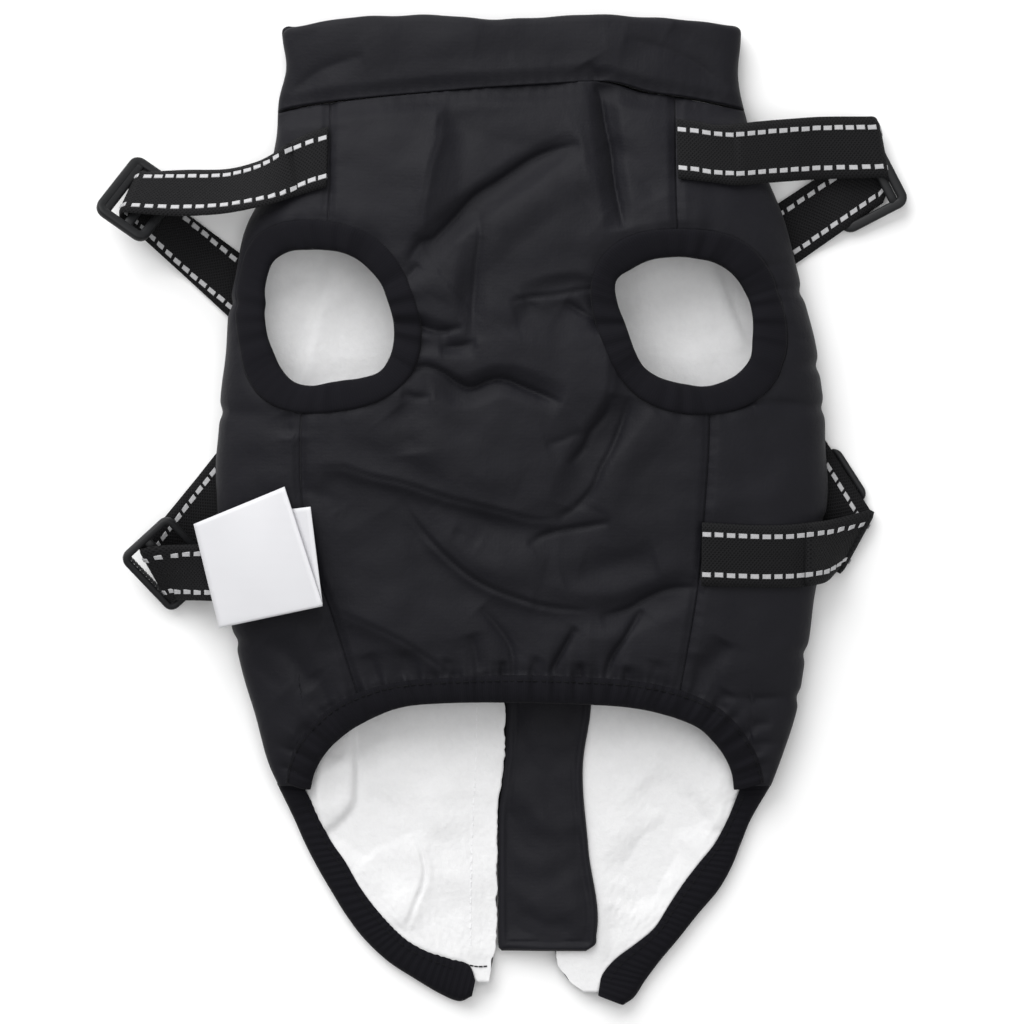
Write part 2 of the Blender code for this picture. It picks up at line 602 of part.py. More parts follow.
def signed_volume(solid):
    """Six times the volume that the faces enclose; negative when they point inwards."""
    solid.data.calc_loop_triangles()
    total = 0.0
    for tri in solid.data.loop_triangles:
        a, b, c = (solid.data.vertices[k].co for k in tri.vertices)
        total += a.dot(b.cross(c))
    return total


# ------------------------------------------------------------------ upper layer
def leg_hole(side, count=36):
    """Rounded outline of one leg hole, in pattern space."""
    hole = LEG_HOLES[side]
    angle = np.linspace(0.0, 2 * math.pi, count, endpoint=False)
    c, s = np.cos(angle), np.sin(angle)
    radius = (np.abs(c) ** hole["power"] + np.abs(s) ** hole["power"]) ** (-1 / hole["power"])
    x, y = hole["across"] * radius * c, hole["along"] * radius * s
    turn = math.radians(hole["turn"])
    return top_pattern(np.column_stack([hole["x"] + x * math.cos(turn) - y * math.sin(turn),
                                        hole["y"] + x * math.sin(turn) + y * math.cos(turn)]))


def band_seam(side):
    """Where the panels are cut for a leg band."""
    return inset(leg_hole(side), -BAND)


def hem_rows():
    """Open edge and seam of the hem binding, as rows of four numbers."""
    return curve_through(BELLY_HEM, 44)


def side_edge(y_from, y_to, side):
    """Points on the side seam of the upper layer, in pattern space."""
    y = np.linspace(y_from, y_to, 34)
    return np.column_stack([side * PROFILE_HALF * half_width(y), y])


def part_of(seam, low=None, high=None):
    """The stretch of a curve that runs between two x values, ends included."""
    points = curve_through(seam, 60)
    keep = (points[:, 0] > low) & (points[:, 0] < high)
    ends = [[x, np.interp(x, points[:, 0], points[:, 1])] for x in (low, high)]
    return np.vstack([ends[:1], points[keep][::3], ends[1:]])


def seam_between(seam, bottom, top):
    """A lengthwise seam from the collar seam down to the belly hem, as plan points."""
    points = curve_through(seam, 50)
    keep = (points[:, 1] < top) & (points[:, 1] > bottom)
    x_top = np.interp(-top, -points[:, 1], points[:, 0])
    x_bottom = np.interp(-bottom, -points[:, 1], points[:, 0])
    return np.vstack([[[x_top, top]], points[keep][::2], [[x_bottom, bottom]]])


def crossing(seam, across):
    """Where a lengthwise seam meets a crosswise one: y of the crosswise one at that x."""
    points = curve_through(seam, 200)
    other = np.interp(points[:, 0], across[:, 0], across[:, 1])
    nearest = np.argmin(np.abs(points[:, 1] - other))
    return points[nearest, 1]


def crease_guides(step):
    """Pattern points along every crease, so that the triangles follow them."""
    guides = []
    for _name, points, _rise, reach in FOLDS:
        path = curve_through(points, max(3, int(sum(
            math.dist(a, b) for a, b in zip(points, points[1:])) / step)))
        along = np.gradient(path, axis=0)
        across = np.column_stack([-along[:, 1], along[:, 0]])
        across /= np.linalg.norm(across, axis=1)[:, None]
        guides += [top_pattern(path), top_pattern(path + 0.62 * reach * across),
                   top_pattern(path - 0.62 * reach * across)]
    kept = np.empty((0, 2))
    for point in np.vstack(guides):
        if len(kept) == 0 or np.linalg.norm(kept - point, axis=1).min() > 0.62 * step:
            kept = np.vstack([kept, point])
    return [kept]


def make_upper_panels():
    """Chest panel and the two side panels, cut for the leg bands and the hem binding."""
    collar = curve_through(COLLAR_SEAM, 120)
    hem = hem_rows()[:, 2:]
    holes = [band_seam("left"), band_seam("right")]
    left_top, right_top = crossing(CHEST_SEAM_LEFT, collar), crossing(CHEST_SEAM_RIGHT, collar)
    left_low = crossing(CHEST_SEAM_LEFT, hem)
    right_low = crossing(CHEST_SEAM_RIGHT, hem)
    left_seam = seam_between(CHEST_SEAM_LEFT, left_low, left_top)
    right_seam = seam_between(CHEST_SEAM_RIGHT, right_low, right_top)

    def panel(name, outline, step, guides):
        outline = inset(outline, 0.5 * SEAM_GAP)
        wider = [inset(hole, -0.5 * SEAM_GAP) for hole in holes]
        near = [h for h in wider if inside(h, outline).any()]
        wall(name, cut(outline, near, step, guides), lambda p: on_top(p, 0.0),
             lambda p: on_top(p, SHELL), "shell")

    def hem_part(low, high):
        return hem[(hem[:, 0] > low) & (hem[:, 0] < high)]

    chest = joined(left_seam[::-1], part_of(COLLAR_SEAM, left_seam[0, 0], right_seam[0, 0])[1:-1],
                   right_seam, hem_part(left_seam[-1, 0] + 2, right_seam[-1, 0] - 2)[::-1])
    panel("chest_panel", top_pattern(chest), 4.6, crease_guides(4.6))

    edge_left = side_edge(hem[0, 1] + 0.2, float(np.interp(-72.0, collar[:, 0], collar[:, 1])), -1)
    outline = joined(edge_left, top_pattern(part_of(COLLAR_SEAM, -70.5, left_seam[0, 0])),
                     top_pattern(left_seam[1:-1]),
                     top_pattern(hem_part(-90.0, left_seam[-1, 0] + 0.5)[::-1]))
    panel("side_left", outline, 5.2, ())

    edge_right = side_edge(float(np.interp(79.0, collar[:, 0], collar[:, 1])), hem[-1, 1] + 0.2, 1)
    outline = joined(edge_right, top_pattern(hem_part(right_seam[-1, 0] - 0.5, 95.0)[::-1]),
                     top_pattern(right_seam[::-1][1:-1]),
                     top_pattern(part_of(COLLAR_SEAM, right_seam[0, 0], 77.5)))
    panel("side_right", outline, 5.2, ())


def make_collar_front():
    """The padded tube's upper half, from the collar seam to the neck edge."""
    seam = part_of(COLLAR_SEAM, -70.5, 77.3)
    edge = part_of(COLLAR_EDGE, -70.0, 76.8)
    left = side_edge(seam[0, 1], edge[0, 1], -1)[::4]
    right = side_edge(edge[-1, 1], seam[-1, 1], 1)[::4]
    outline = joined(top_pattern(seam)[::-1], left, top_pattern(edge), right)
    outline = inset(outline, 0.5 * SEAM_GAP)
    wall("collar_front", cut(outline, [], 5.2), lambda p: on_top(p, 0.0),
         lambda p: on_top(p, COLLAR_WALL), "shell")


def make_leg_band(side):
    """A ring of elastic rib: its section is a rounded bar, sloping down towards the hole."""
    inner, outer = leg_hole(side), inset(band_seam(side), 0.5 * SEAM_GAP)
    section = (
        # across, depth
        (0.00, 0.50), (0.14, 0.12), (0.55, 0.0), (0.92, 0.15),
        (1.00, 0.50), (0.86, 0.95), (0.50, 1.0), (0.10, 0.88),
    )
    rings = []
    for across, depth in section:
        line = inner + (outer - inner) * across
        rings.append(on_top(line, depth * BAND_WALL + BAND_SLOPE * (1 - across)))
    strip("leg_band_" + side, np.array(rings).transpose(1, 0, 2), True, "rib")


def make_belly_binding():
    """The elastic binding round the arch of the belly hem, from tip to tip."""
    rows = hem_rows()
    free, seam = top_pattern(rows[:, :2]), top_pattern(rows[:, 2:])
    seam = seam + (free - seam) * (SEAM_GAP / np.linalg.norm(free - seam, axis=1))[:, None]
    section = ((0.0, 0.5), (0.14, 0.08), (0.6, 0.0), (1.0, 0.12), (1.0, 0.88), (0.6, 1.0),
               (0.14, 0.92))
    rings = [on_top(free + (seam - free) * across, depth * HEM_WALL) for across, depth in section]
    strip("hem_binding_belly", np.array(rings).transpose(1, 0, 2), False, "rib")


# ------------------------------------------------------------------ lower layer
def tail_inner(side):
    rows = TAIL_LEFT if side == "left" else TAIL_RIGHT
    return np.array(rows, float)[:, 2:4]


def back_outline(side, gap):
    """Pattern outline of a back panel or its lining, the binding and the zip edge taken off."""
    sign = -1.0 if side == "left" else 1.0
    y = np.linspace(BACK_TOP, BELLY_HEM[0][3] - 1.2, 24)
    full = half_width(y) + (CURL_ARC - CURL) * curl(y)
    edge = np.column_stack([sign * full, y])
    centre = resampled(TAIL_EDGE_LEFT if side == "left" else TAIL_EDGE_RIGHT, BACK_STEP, False)
    return inset(joined(edge, back_pattern(tail_inner(side)), back_pattern(centre[::-1])), gap)


def slider_guides():
    """Pattern points over the slider under the coat's side, so that the back rises smoothly."""
    place, run, across = flat_slider_place()
    along = np.array((RISE_FROM - RISE_FADE, RISE_FROM - 0.5 * RISE_FADE, RISE_FROM, -5.0, 5.0,
                      RISE_TO, RISE_TO + 0.5 * RISE_FADE, RISE_TO + RISE_FADE))
    beside = np.array((RISE_BESIDE - RISE_FADE, RISE_BESIDE - 0.5 * RISE_FADE, RISE_BESIDE, -8.0, -1.0))
    points = place + along[:, None, None] * run + beside[None, :, None] * across
    points = points.reshape(-1, 2)
    off = np.abs(points[:, 0] - middle(points[:, 1]))
    return back_pattern(points[off < half_width(points[:, 1]) - 2.0])


def make_back_and_lining(side):
    """Padded shell flat on the floor, and the fleece made from its points, moved up.

    The fleece leaves off part of the way up the curl, short of the side seam.
    """
    sign = -1.0 if side == "left" else 1.0
    y = np.arange(BACK_TOP - 3.0, BELLY_HEM[0][3], -BACK_STEP)
    flat = half_width(y) - CURL
    rows = [np.column_stack([sign * (flat + share * CURL_ARC), y]) for share in (0.0, 0.36, 0.72)]
    outline = back_outline(side, 0.5 * SEAM_GAP)
    guides = np.vstack(rows)
    if side == "right":
        close = np.linalg.norm(guides[:, None] - slider_guides()[None], axis=2).min(axis=1)
        guides = np.vstack([guides[close > GUIDE_APART], slider_guides()])
    points, faces = cut(outline, [], BACK_STEP, [guides])
    wall("back_" + side, (points, faces), lambda p: on_back(p, SHELL),
         lambda p: on_back(p, 0.0), "shell")
    limit = half_width(points[:, 1]) - CURL + 0.73 * CURL_ARC
    lined = (np.abs(points[:, 0]) < limit) | (points[:, 1] < y[-1])
    faces = faces[lined[faces].all(axis=1)]
    used, index = np.unique(faces, return_inverse=True)
    low = SHELL + SEAM_GAP
    wall("lining_" + side, (points[used], index.reshape(faces.shape)),
         lambda p: on_back(p, low + FLEECE), lambda p: on_back(p, low), "fleece")


def make_tail_binding(side):
    """A rounded bar of binding along the edge of one tail."""
    rows = curve_through(TAIL_LEFT if side == "left" else TAIL_RIGHT, 22)
    outer, inner = rows[:, :2], rows[:, 2:]
    inner = inner + (outer - inner) * (0.5 * SEAM_GAP / np.linalg.norm(outer - inner, axis=1))[:, None]
    outer, inner = (np.column_stack([p, np.zeros(len(p))]) for p in (outer, inner))
    grown = np.clip((outer[:, 1] - TAIL_GROWS_FROM) / TAIL_GROWS_OVER, 0.0, 1.0)
    rise = TAIL_BINDING_Z + TAIL_BINDING_GROWS * grown
    section = ((0.0, 0.40), (0.12, 0.86), (0.45, 1.0), (1.0, 0.9), (1.0, 0.06), (0.85, 0.0),
               (0.12, 0.0))
    rings = []
    for across, height in section:
        line = outer + (inner - outer) * across
        line[:, 2] = rise * height
        rings.append(line)
    strip("hem_binding_tail_" + side, np.array(rings).transpose(1, 0, 2), False, "rib")


def make_collar_back(side):
    """The collar's lower half beside the zip, doubled cloth on the floor."""
    sign = -1.0 if side == "left" else 1.0
    y = np.linspace(BACK_TOP, COLLAR_TOP - 2.6, 8)
    edge = np.column_stack([sign * (half_width(y) - CURL + CURL_ARC), y])
    centre = ZIP_LEFT if side == "left" else ZIP_RIGHT
    neck = back_pattern([(centre + sign * k * 12.0, COLLAR_TOP) for k in (4, 2, 0)])
    outline = joined(edge, neck, back_pattern([(centre, BACK_TOP)]))
    outline = inset(outline, 0.5 * SEAM_GAP)
    wall("collar_back_" + side, cut(outline, [], 8.0), lambda p: on_back(p, COLLAR_WALL),
         lambda p: on_back(p, 0.0), "shell")


def make_zip_guard():
    """The flap inside the zip: low beside the left lining, rising over the right one."""
    right = ((29.5, COLLAR_TOP - 3.0), (29.8, -62.6), (26.8, -80.0), (28.4, -109.0),
             (31.0, -137.0), (30.2, -140.6), (27.6, -142.3))
    left = ((0.4, -142.3), (-0.7, -141.2), (-0.7, -137.0), (-0.8, -109.0), (-0.8, COLLAR_TOP - 3.0))
    points, faces = cut(np.array(right + left), [], 11.0)

    def at(rise):
        climb = soft_step((points[:, 0] - GUARD_CLIMB_FROM) / (GUARD_CLIMB_TO - GUARD_CLIMB_FROM))
        return np.column_stack([points, GUARD_Z + GUARD_CLIMB * climb + rise])

    wall("zip_guard", (points, faces), lambda p: at(FLAP), lambda p: at(0.0), "shell")


# ------------------------------------------------------------------ zip
def box_rings(x0, x1, z0, z1, y_values):
    return [[(x0, y, z0), (x1, y, z0), (x1, y, z1), (x0, y, z1)] for y in y_values]


def make_zip():
    """Tapes, chain, slider with its two lugs, and the pull tab hung between them."""
    top = COLLAR_TOP - 1.5
    ends = (ZIP_END, 0.5 * (ZIP_END + top), top)
    half = 0.5 * CHAIN_WIDTH
    strip("zip_tape_left", box_rings(ZIP_LEFT + SEAM_GAP, CHAIN_X - half - SEAM_GAP, *TAPE_Z, ends),
          False, "tape")
    strip("zip_tape_right", box_rings(CHAIN_X + half + SEAM_GAP, ZIP_RIGHT - SEAM_GAP, *TAPE_Z, ends),
          False, "tape")
    chain_top = ZIP_SLIDER["y"] - 0.5 * ZIP_SLIDER["length"] - SEAM_GAP
    strip("zip_chain", box_rings(CHAIN_X - half, CHAIN_X + half, *CHAIN_Z, (ZIP_END, 0.0, chain_top)),
          False, "plastic")
    make_zip_slider()
    make_pull_tab()


def make_zip_slider():
    """Slider body, a tapered block, with two lugs under it, joined by an exact Boolean."""
    x, y, _z = PULL_PIVOT
    length, width = ZIP_SLIDER["length"], 0.5 * CHAIN_WIDTH - 0.1
    rows = ((-0.5, 0.80), (-0.42, 0.96), (0.0, 0.90), (0.38, 1.0), (0.5, 0.78))
    rings = []
    for along, share in rows:
        w, mid = width * share, ZIP_SLIDER["y"] + along * length
        low, high = ZIP_SLIDER["bottom"], ZIP_SLIDER["top"] - 0.9 * abs(along)
        rings.append([(x - w, mid, low), (x + w, mid, low), (x + w, mid, high), (x - w, mid, high)])
    body = strip("zip_slider", rings, False, "plastic")
    inner = 0.5 * PULL_ROOT + SEAM_GAP
    for sign in (-1, 1):
        x0, x1 = sorted((x + sign * inner, x + sign * (inner + LUG_WIDTH)))
        lug = strip("slider_lug", box_rings(x0, x1, LUG_BOTTOM, ZIP_SLIDER["bottom"] + 0.4,
                                            (y - 0.5 * LUG_LENGTH, y + 0.5 * LUG_LENGTH)),
                    False, "plastic")
        lug.hide_render = True
        lug.display_type = "WIRE"
        join = body.modifiers.new("lug", "BOOLEAN")
        join.operation = "UNION"
        join.solver = "EXACT"
        join.object = lug


def make_pull_tab():
    """A flat tab whose rounded root turns between the lugs; its object sits on the hinge axis."""
    x, y, z = PULL_PIVOT
    radius = PULL_RADIUS
    angle = np.radians([90, 45, 0, -45, -90])
    nose = [(radius * math.cos(a), radius * math.sin(a)) for a in angle]
    rows = (
        # distance from the pivot towards the tail, half width
        (0.0, 0.5 * PULL_ROOT), (2.2, 0.5 * PULL_ROOT), (3.4, 0.5 * PULL_WIDTH),
        (PULL_LENGTH - 2.0, 0.5 * PULL_WIDTH), (PULL_LENGTH, 0.34 * PULL_WIDTH),
    )
    outline = [(half, -along) for along, half in rows] + [(-half, -along) for along, half in rows[::-1]]
    low, high = -radius, 0.1
    points = [(px, py, high) for px, py in outline] + [(px, py, low) for px, py in outline]
    n = len(outline)
    faces = [tuple(range(n))[::-1], tuple(range(n, 2 * n))]
    for k in range(n):
        j = (k + 1) % n
        faces.append((k, j, j + n, k + n))
    tab = add_solid("zip_pull", points, faces, "plastic")
    if signed_volume(tab) < 0:
        tab.data.flip_normals()
    tab.location = (x * 0.001, y * 0.001, z * 0.001)
    root_rings = [[(px, py, pz) for py, pz in nose + [(-0.4, -radius), (-0.4, radius)]]
                  for px in (-0.5 * PULL_ROOT, 0.5 * PULL_ROOT)]
    root = strip("pull_root", root_rings, False, "plastic")
    root.location = tab.location
    root.hide_render = True
    root.display_type = "WIRE"
    join = tab.modifiers.new("root", "BOOLEAN")
    join.operation = "UNION"
    join.solver = "EXACT"
    join.object = root


# ------------------------------------------------------------------ straps, sliders, label
def strap_rows(name):
    """Middle surface of one strip as rows of two edges, and the frame of its slider's bar."""
    strap, bend = STRAPS[name], STRAPS[name]["bend"]
    rows = np.array([[np.nan if v is None else v for v in row] for row in strap["front"]])
    resting = np.isnan(rows[:, 2])
    first_free = int(np.argmin(resting))
    for edge in (0, 3):
        z = surface_height(rows[resting][:, edge:edge + 2]) + STRAP_REST + 0.5 * WEBBING_WALL
        rows[resting, edge + 2] = z
    fine = curve_through(rows, 3 * len(rows))
    sign = np.sign(rows[-1, 0])
    resting = sign * fine[:, 0] < sign * rows[first_free, 0]
    for edge in (0, 3):
        z = surface_height(fine[resting][:, edge:edge + 2]) + STRAP_REST + 0.5 * WEBBING_WALL
        fine[resting, edge + 2] = np.maximum(z, fine[resting, edge + 2] - 0.4)
    lift = np.zeros(resting.sum())
    for share in (0.25, 0.5, 0.75):
        line = fine[resting, :3] + (fine[resting, 3:] - fine[resting, :3]) * share
        lowest = surface_height(line[:, :2]) + STRAP_REST + 0.5 * WEBBING_WALL
        lift = np.maximum(lift, lowest - line[:, 2])
    fine[resting, 2] += lift
    fine[resting, 5] += lift
    a, b = fine[-1, :3], fine[-1, 3:]
    before = 0.5 * (fine[-2, :3] + fine[-2, 3:])
    bar = unit(a - b)
    out = unit(np.cross(bar, (0.0, 0.0, 1.0)))
    out = out if out @ (0.5 * (a + b) - before) > 0 else -out
    normal = unit(np.cross(bar, out))
    normal = normal if normal[2] > 0 else -normal
    turn = []
    for k in range(1, 6):
        angle = math.pi * k / 6
        shift = bend * (math.sin(angle) * out - (1 - math.cos(angle)) * normal)
        turn.append(np.concatenate([a + shift, b + shift]))
    down = -2 * bend * normal
    start = np.concatenate([a + down, b + down])
    end = np.array(strap["end"], float)
    share = np.linspace(0.0, 1.0, RETURN_ROWS)[:, None]
    back = start + (end - start) * share
    sinks_from, sinks_to = strap["sinks"]
    sunk = np.clip((share[:, 0] - sinks_from) / (sinks_to - sinks_from), 0.0, 1.0)
    for edge in (2, 5):
        back[:, edge] = start[edge] + (end[edge] - start[edge]) * sunk
    frame = (0.5 * (a + b) - bend * normal, out, normal)
    if strap["turn"] is None:
        place, run, _across = flat_slider_place()
        level = SLIDER_CLEAR + 0.5 * SLIDER_THICK
        frame = (np.array((*place, level)), np.array((*-run, 0.0)), np.array((0.0, 0.0, 1.0)))
    return np.vstack([fine, turn, back]), frame


def surface_height(xy):
    """Height of the upper layer's outer face at plan points."""
    return on_top(top_pattern(xy), 0.0)[:, 2]


def make_strap(name):
    """Webbing of even thickness along its rows, three points across each face."""
    rows, _frame = strap_rows(name)
    a, b = rows[:, :3], rows[:, 3:]
    middle_line = 0.5 * (a + b)
    along = np.gradient(middle_line, axis=0)
    normal = np.cross(a - b, along)
    normal /= np.linalg.norm(normal, axis=1)[:, None]
    if normal[0, 2] < 0:
        normal = -normal
    offset = 0.5 * WEBBING_WALL * normal
    rings = np.stack([a + offset, middle_line + offset, b + offset,
                      b - offset, middle_line - offset, a - offset], axis=1)
    strip("strap_" + name, rings, False, "webbing")


def cut_strap_pocket(name):
    """Let the end of a strap into the under side of the back panel, so that both lie flat."""
    rows, _frame = strap_rows(name)
    back = rows[2 - RETURN_ROWS:].copy()
    end = unit(back[-1, :2] - back[-2, :2])
    back[-1, :2] += SEAM_GAP * end
    back[-1, 3:5] += SEAM_GAP * end
    across = back[:, :2] - back[:, 3:5]
    across *= SEAM_GAP / np.linalg.norm(across, axis=1)[:, None]
    roof = 0.5 * WEBBING_WALL + 1.2 * SEAM_GAP
    rings = [[(*(row[:2] + d), -1.0), (*(row[3:5] - d), -1.0),
              (*(row[3:5] - d), row[5] + roof), (*(row[:2] + d), row[2] + roof)]
             for row, d in zip(back, across)]
    cutter = strip("pocket_" + name, rings, False, "webbing")
    cutter.hide_render = True
    cutter.display_type = "WIRE"
    panel = bpy.data.objects["back_left" if back[-1, 0] < 0 else "back_right"]
    pocket = panel.modifiers.new("pocket_" + name, "BOOLEAN")
    pocket.operation = "DIFFERENCE"
    pocket.solver = "EXACT"
    pocket.object = cutter


def make_adjuster(name):
    """Three-bar slider: a rounded plate with two slots, in its strap's bend or round its return."""
    _rows, (axis, out, normal) = strap_rows(name)
    turn = math.radians(STRAPS[name]["turn"] or 0.0)
    flat = np.cross((0.0, 0.0, 1.0), out)
    out = unit(math.cos(turn) * out + math.sin(turn) * flat)
    bar = unit(np.cross(normal, out))
    half = 0.5 * BAR_LENGTH
    length = half + SLIDER_RIM
    low, high, corner = SLIDER_ACROSS[-1][0], SLIDER_ACROSS[0][1], SLIDER_CORNER
    outline = []
    for cx, cy, start in ((high - corner, length - corner, 0), (low + corner, length - corner, 90),
                          (low + corner, corner - length, 180), (high - corner, corner - length, 270)):
        for k in range(4):
            angle = math.radians(start + 30 * k)
            outline.append((cx + corner * math.cos(angle), cy + corner * math.sin(angle)))
    slots = []
    for (right, _a), (_b, left) in zip(SLIDER_ACROSS, SLIDER_ACROSS[1:]):
        slots.append(np.array([(left, -half), (right, -half), (right, half), (left, half)]))
    pattern = cut(np.array(outline), slots, 40.0)
    bar_thick = THIN_BAR if STRAPS[name]["turn"] is None else SLIDER_THICK

    def under(p):
        return axis + p[:, :1] * out + p[:, 1:2] * bar - 0.5 * SLIDER_THICK * normal

    def over(p):
        thick = np.where(np.abs(p[:, 1:2]) > half + SEAM_GAP, SLIDER_THICK, bar_thick)
        return under(p) + thick * normal

    solid = wall("slider_" + name, pattern, over, under, "plastic")
    if signed_volume(solid) < 0:
        solid.data.flip_normals()


def make_label():
    """A blank care label: one strip folded at the bottom, two leaves a little askew."""
    strap, _frame = strap_rows("lower_left")
    front = strap[:-RETURN_ROWS - 5][::-1]
    strap_top = np.maximum(front[:, 2], front[:, 5]) + 0.5 * WEBBING_WALL

    def height(x):
        """Just clear of the lower left strap, on which the label rests."""
        return np.interp(x, front[:, 0], strap_top) + LABEL_REST + 0.5 * LABEL_WALL

    def leaf(bottom, top, extra):
        rows = []
        for t in np.linspace(0.0, 1.0, 5):
            row = [bottom[k] + (top[k] - bottom[k]) * t for k in range(4)]
            left, right = row[:2], row[2:]
            line = [np.array([left[0] + (right[0] - left[0]) * s, left[1] + (right[1] - left[1]) * s])
                    for s in np.linspace(0.0, 1.0, 7)]
            rows.append([(p[0], p[1], float(height(p[0])) + extra) for p in line])
        return rows

    back = leaf(LABEL_FOLD, LABEL_BACK_TOP, 0.0)
    front = leaf(LABEL_FOLD, LABEL_FRONT_TOP, 2 * LABEL_LOOP)
    turn = []
    for k in (1, 2, 3):
        angle = math.pi * k / 4
        turn.append([(x, y - LABEL_LOOP * math.sin(angle), z + LABEL_LOOP * (1 - math.cos(angle)))
                     for x, y, z in back[0]])
    rows = np.array(back[::-1] + turn + front)
    along = np.gradient(rows, axis=0)
    across = np.gradient(rows, axis=1)
    normal = np.cross(across, along)
    normal /= np.linalg.norm(normal, axis=2)[..., None]
    offset = 0.5 * LABEL_WALL * normal
    rings = np.concatenate([rows + offset, (rows - offset)[:, ::-1]], axis=1)
    strip("care_label", rings, False, "label")


def main():
    for thing in list(bpy.data.objects):
        bpy.data.objects.remove(thing, do_unlink=True)
    make_collar_front()
    make_upper_panels()
    make_belly_binding()
    make_zip_guard()
    make_zip()
    make_label()
    for side in ("left", "right"):
        make_leg_band(side)
        make_back_and_lining(side)
        make_tail_binding(side)
        make_collar_back(side)
    for name in STRAPS:
        make_strap(name)
        cut_strap_pocket(name)
        make_adjuster(name)


main()
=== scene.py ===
"""A padded, fleece-lined dog coat, laid flat on its back with the belly side up.

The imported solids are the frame. Every piece of cloth is laid on the same two forms as its solid: a low
dome for the belly side and a flat back that curls up to meet it. Sizes are in millimetres until the
points go into a mesh. +X is to the right of the laid coat, +Y towards the collar, +Z up.
"""

import math
from functools import cache

import bpy
import numpy as np
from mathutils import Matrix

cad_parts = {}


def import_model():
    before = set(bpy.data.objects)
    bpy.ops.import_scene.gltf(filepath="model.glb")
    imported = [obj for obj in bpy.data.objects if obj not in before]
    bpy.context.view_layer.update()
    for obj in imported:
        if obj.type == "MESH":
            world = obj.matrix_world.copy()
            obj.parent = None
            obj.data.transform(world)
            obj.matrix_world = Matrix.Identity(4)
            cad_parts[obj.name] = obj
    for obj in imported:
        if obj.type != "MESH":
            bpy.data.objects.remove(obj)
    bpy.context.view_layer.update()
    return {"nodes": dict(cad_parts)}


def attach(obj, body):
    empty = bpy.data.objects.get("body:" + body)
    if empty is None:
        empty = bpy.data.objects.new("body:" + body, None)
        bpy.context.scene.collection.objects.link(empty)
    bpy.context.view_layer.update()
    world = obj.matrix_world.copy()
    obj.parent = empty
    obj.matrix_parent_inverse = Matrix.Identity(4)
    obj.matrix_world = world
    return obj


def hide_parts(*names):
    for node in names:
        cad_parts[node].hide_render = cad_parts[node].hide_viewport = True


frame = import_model()

# ------------------------------------------------------------------ the coat's sizes
SEAM_GAP = 0.3                           # clear space between neighbouring pieces
SHELL, COLLAR_WALL, FLEECE = 3.0, 4.5, 1.5
SEAM_Z = 6.5                             # height of the side seam
CURL, CURL_ARC = 9.0, 12.3               # width of the back's curl, and length of cloth in it
BAND, BAND_WALL = 9.0, 2.6               # leg bands
BAND_TILT, BAND_LIFT = 1.6, 0.45         # a leg band's inner edge lies lower, its outer face higher
SUNK_UNDER_BAND = 1.9                    # how far a panel's cut edge sinks under its leg band
HEM_WALL = 3.0
DOME = 2.5                               # exponent of the belly side's cross-section
FADE_SLOPE = 1.6                         # how soon the folds fade in from the side edges
BACK_TOP, COLLAR_TOP = 133.0, 158.0
ZIP_LEFT, ZIP_RIGHT, ZIP_END = -1.1, 17.6, -140.0
WEBBING, WEBBING_WALL = 20.0, 1.5
LOOP_RADIUS, FOLD_RADIUS = 2.6, 1.3      # middle of the webbing round a bar, and folded over
REST_Z = 0.85                            # middle of webbing that lies on the floor
TAIL_BINDING_Z, TAIL_BINDING_STEP = 5.0, 1.3
SIGN = {"left": -1.0, "right": 1.0}

SECTIONS = np.array((
    # y, left x, right x, crown z
    (162.0, -70.8, 78.0, 16.0),
    (152.0, -70.6, 77.4, 18.5),
    (142.9, -69.6, 76.9, 19.5),
    (132.6, -71.5, 78.2, 20.0),
    (119.7, -72.6, 81.5, 25.0),
    (104.2, -76.2, 87.3, 28.5),
    (93.9, -81.6, 91.8, 30.0),
    (78.4, -85.3, 95.7, 30.5),
    (57.7, -88.2, 100.8, 31.0),
    (31.9, -90.8, 104.4, 30.5),
    (10.0, -91.8, 105.7, 29.0),
    (-12.0, -90.2, 103.8, 27.0),
    (-37.7, -86.6, 100.2, 24.5),
    (-61.0, -80.8, 96.0, 21.0),
    (-73.9, -77.4, 93.0, 18.0),
    (-84.2, -74.0, 89.2, 15.0),
    (-91.9, -70.4, 86.0, 12.5),
    (-99.7, -66.9, 81.2, 11.0),
    (-107.4, -63.4, 78.2, 10.0),
    (-122.9, -55.0, 70.5, 9.0),
    (-138.4, -44.4, 57.9, 8.0),
    (-151.3, -28.2, 46.5, 8.0),
    (-162.0, -8.0, 40.0, 8.0),
))

COLLAR_SEAM = ((-84.0, 126.0), (-76.0, 127.5), (-71.5, 128.4), (-55.0, 131.3), (-16.3, 135.2),
               (12.0, 137.3), (32.1, 138.2), (45.0, 134.8), (56.3, 133.2), (78.0, 129.2),
               (90.0, 127.4))
COLLAR_EDGE = ((-84.0, 152.4), (-70.8, 155.0), (-64.7, 156.2), (-53.1, 158.1), (-38.9, 159.6),
               (-19.5, 159.8), (0.0, 158.4), (16.0, 159.5), (32.1, 159.9), (56.0, 158.4),
               (77.9, 156.2), (90.0, 154.0))
CHEST_SEAM_LEFT = ((-54.8, 144.0), (-55.0, 131.0), (-55.6, 92.3), (-60.0, 60.0), (-64.0, 32.6),
                   (-64.0, 3.5), (-60.0, -18.0), (-55.0, -31.3), (-46.3, -58.4), (-42.0, -68.0))
CHEST_SEAM_RIGHT = ((56.2, 144.0), (56.3, 133.2), (57.0, 89.0), (62.0, 60.0), (67.0, 32.6),
                    (65.4, -2.9), (63.4, -25.5), (58.0, -57.1), (56.0, -68.0))
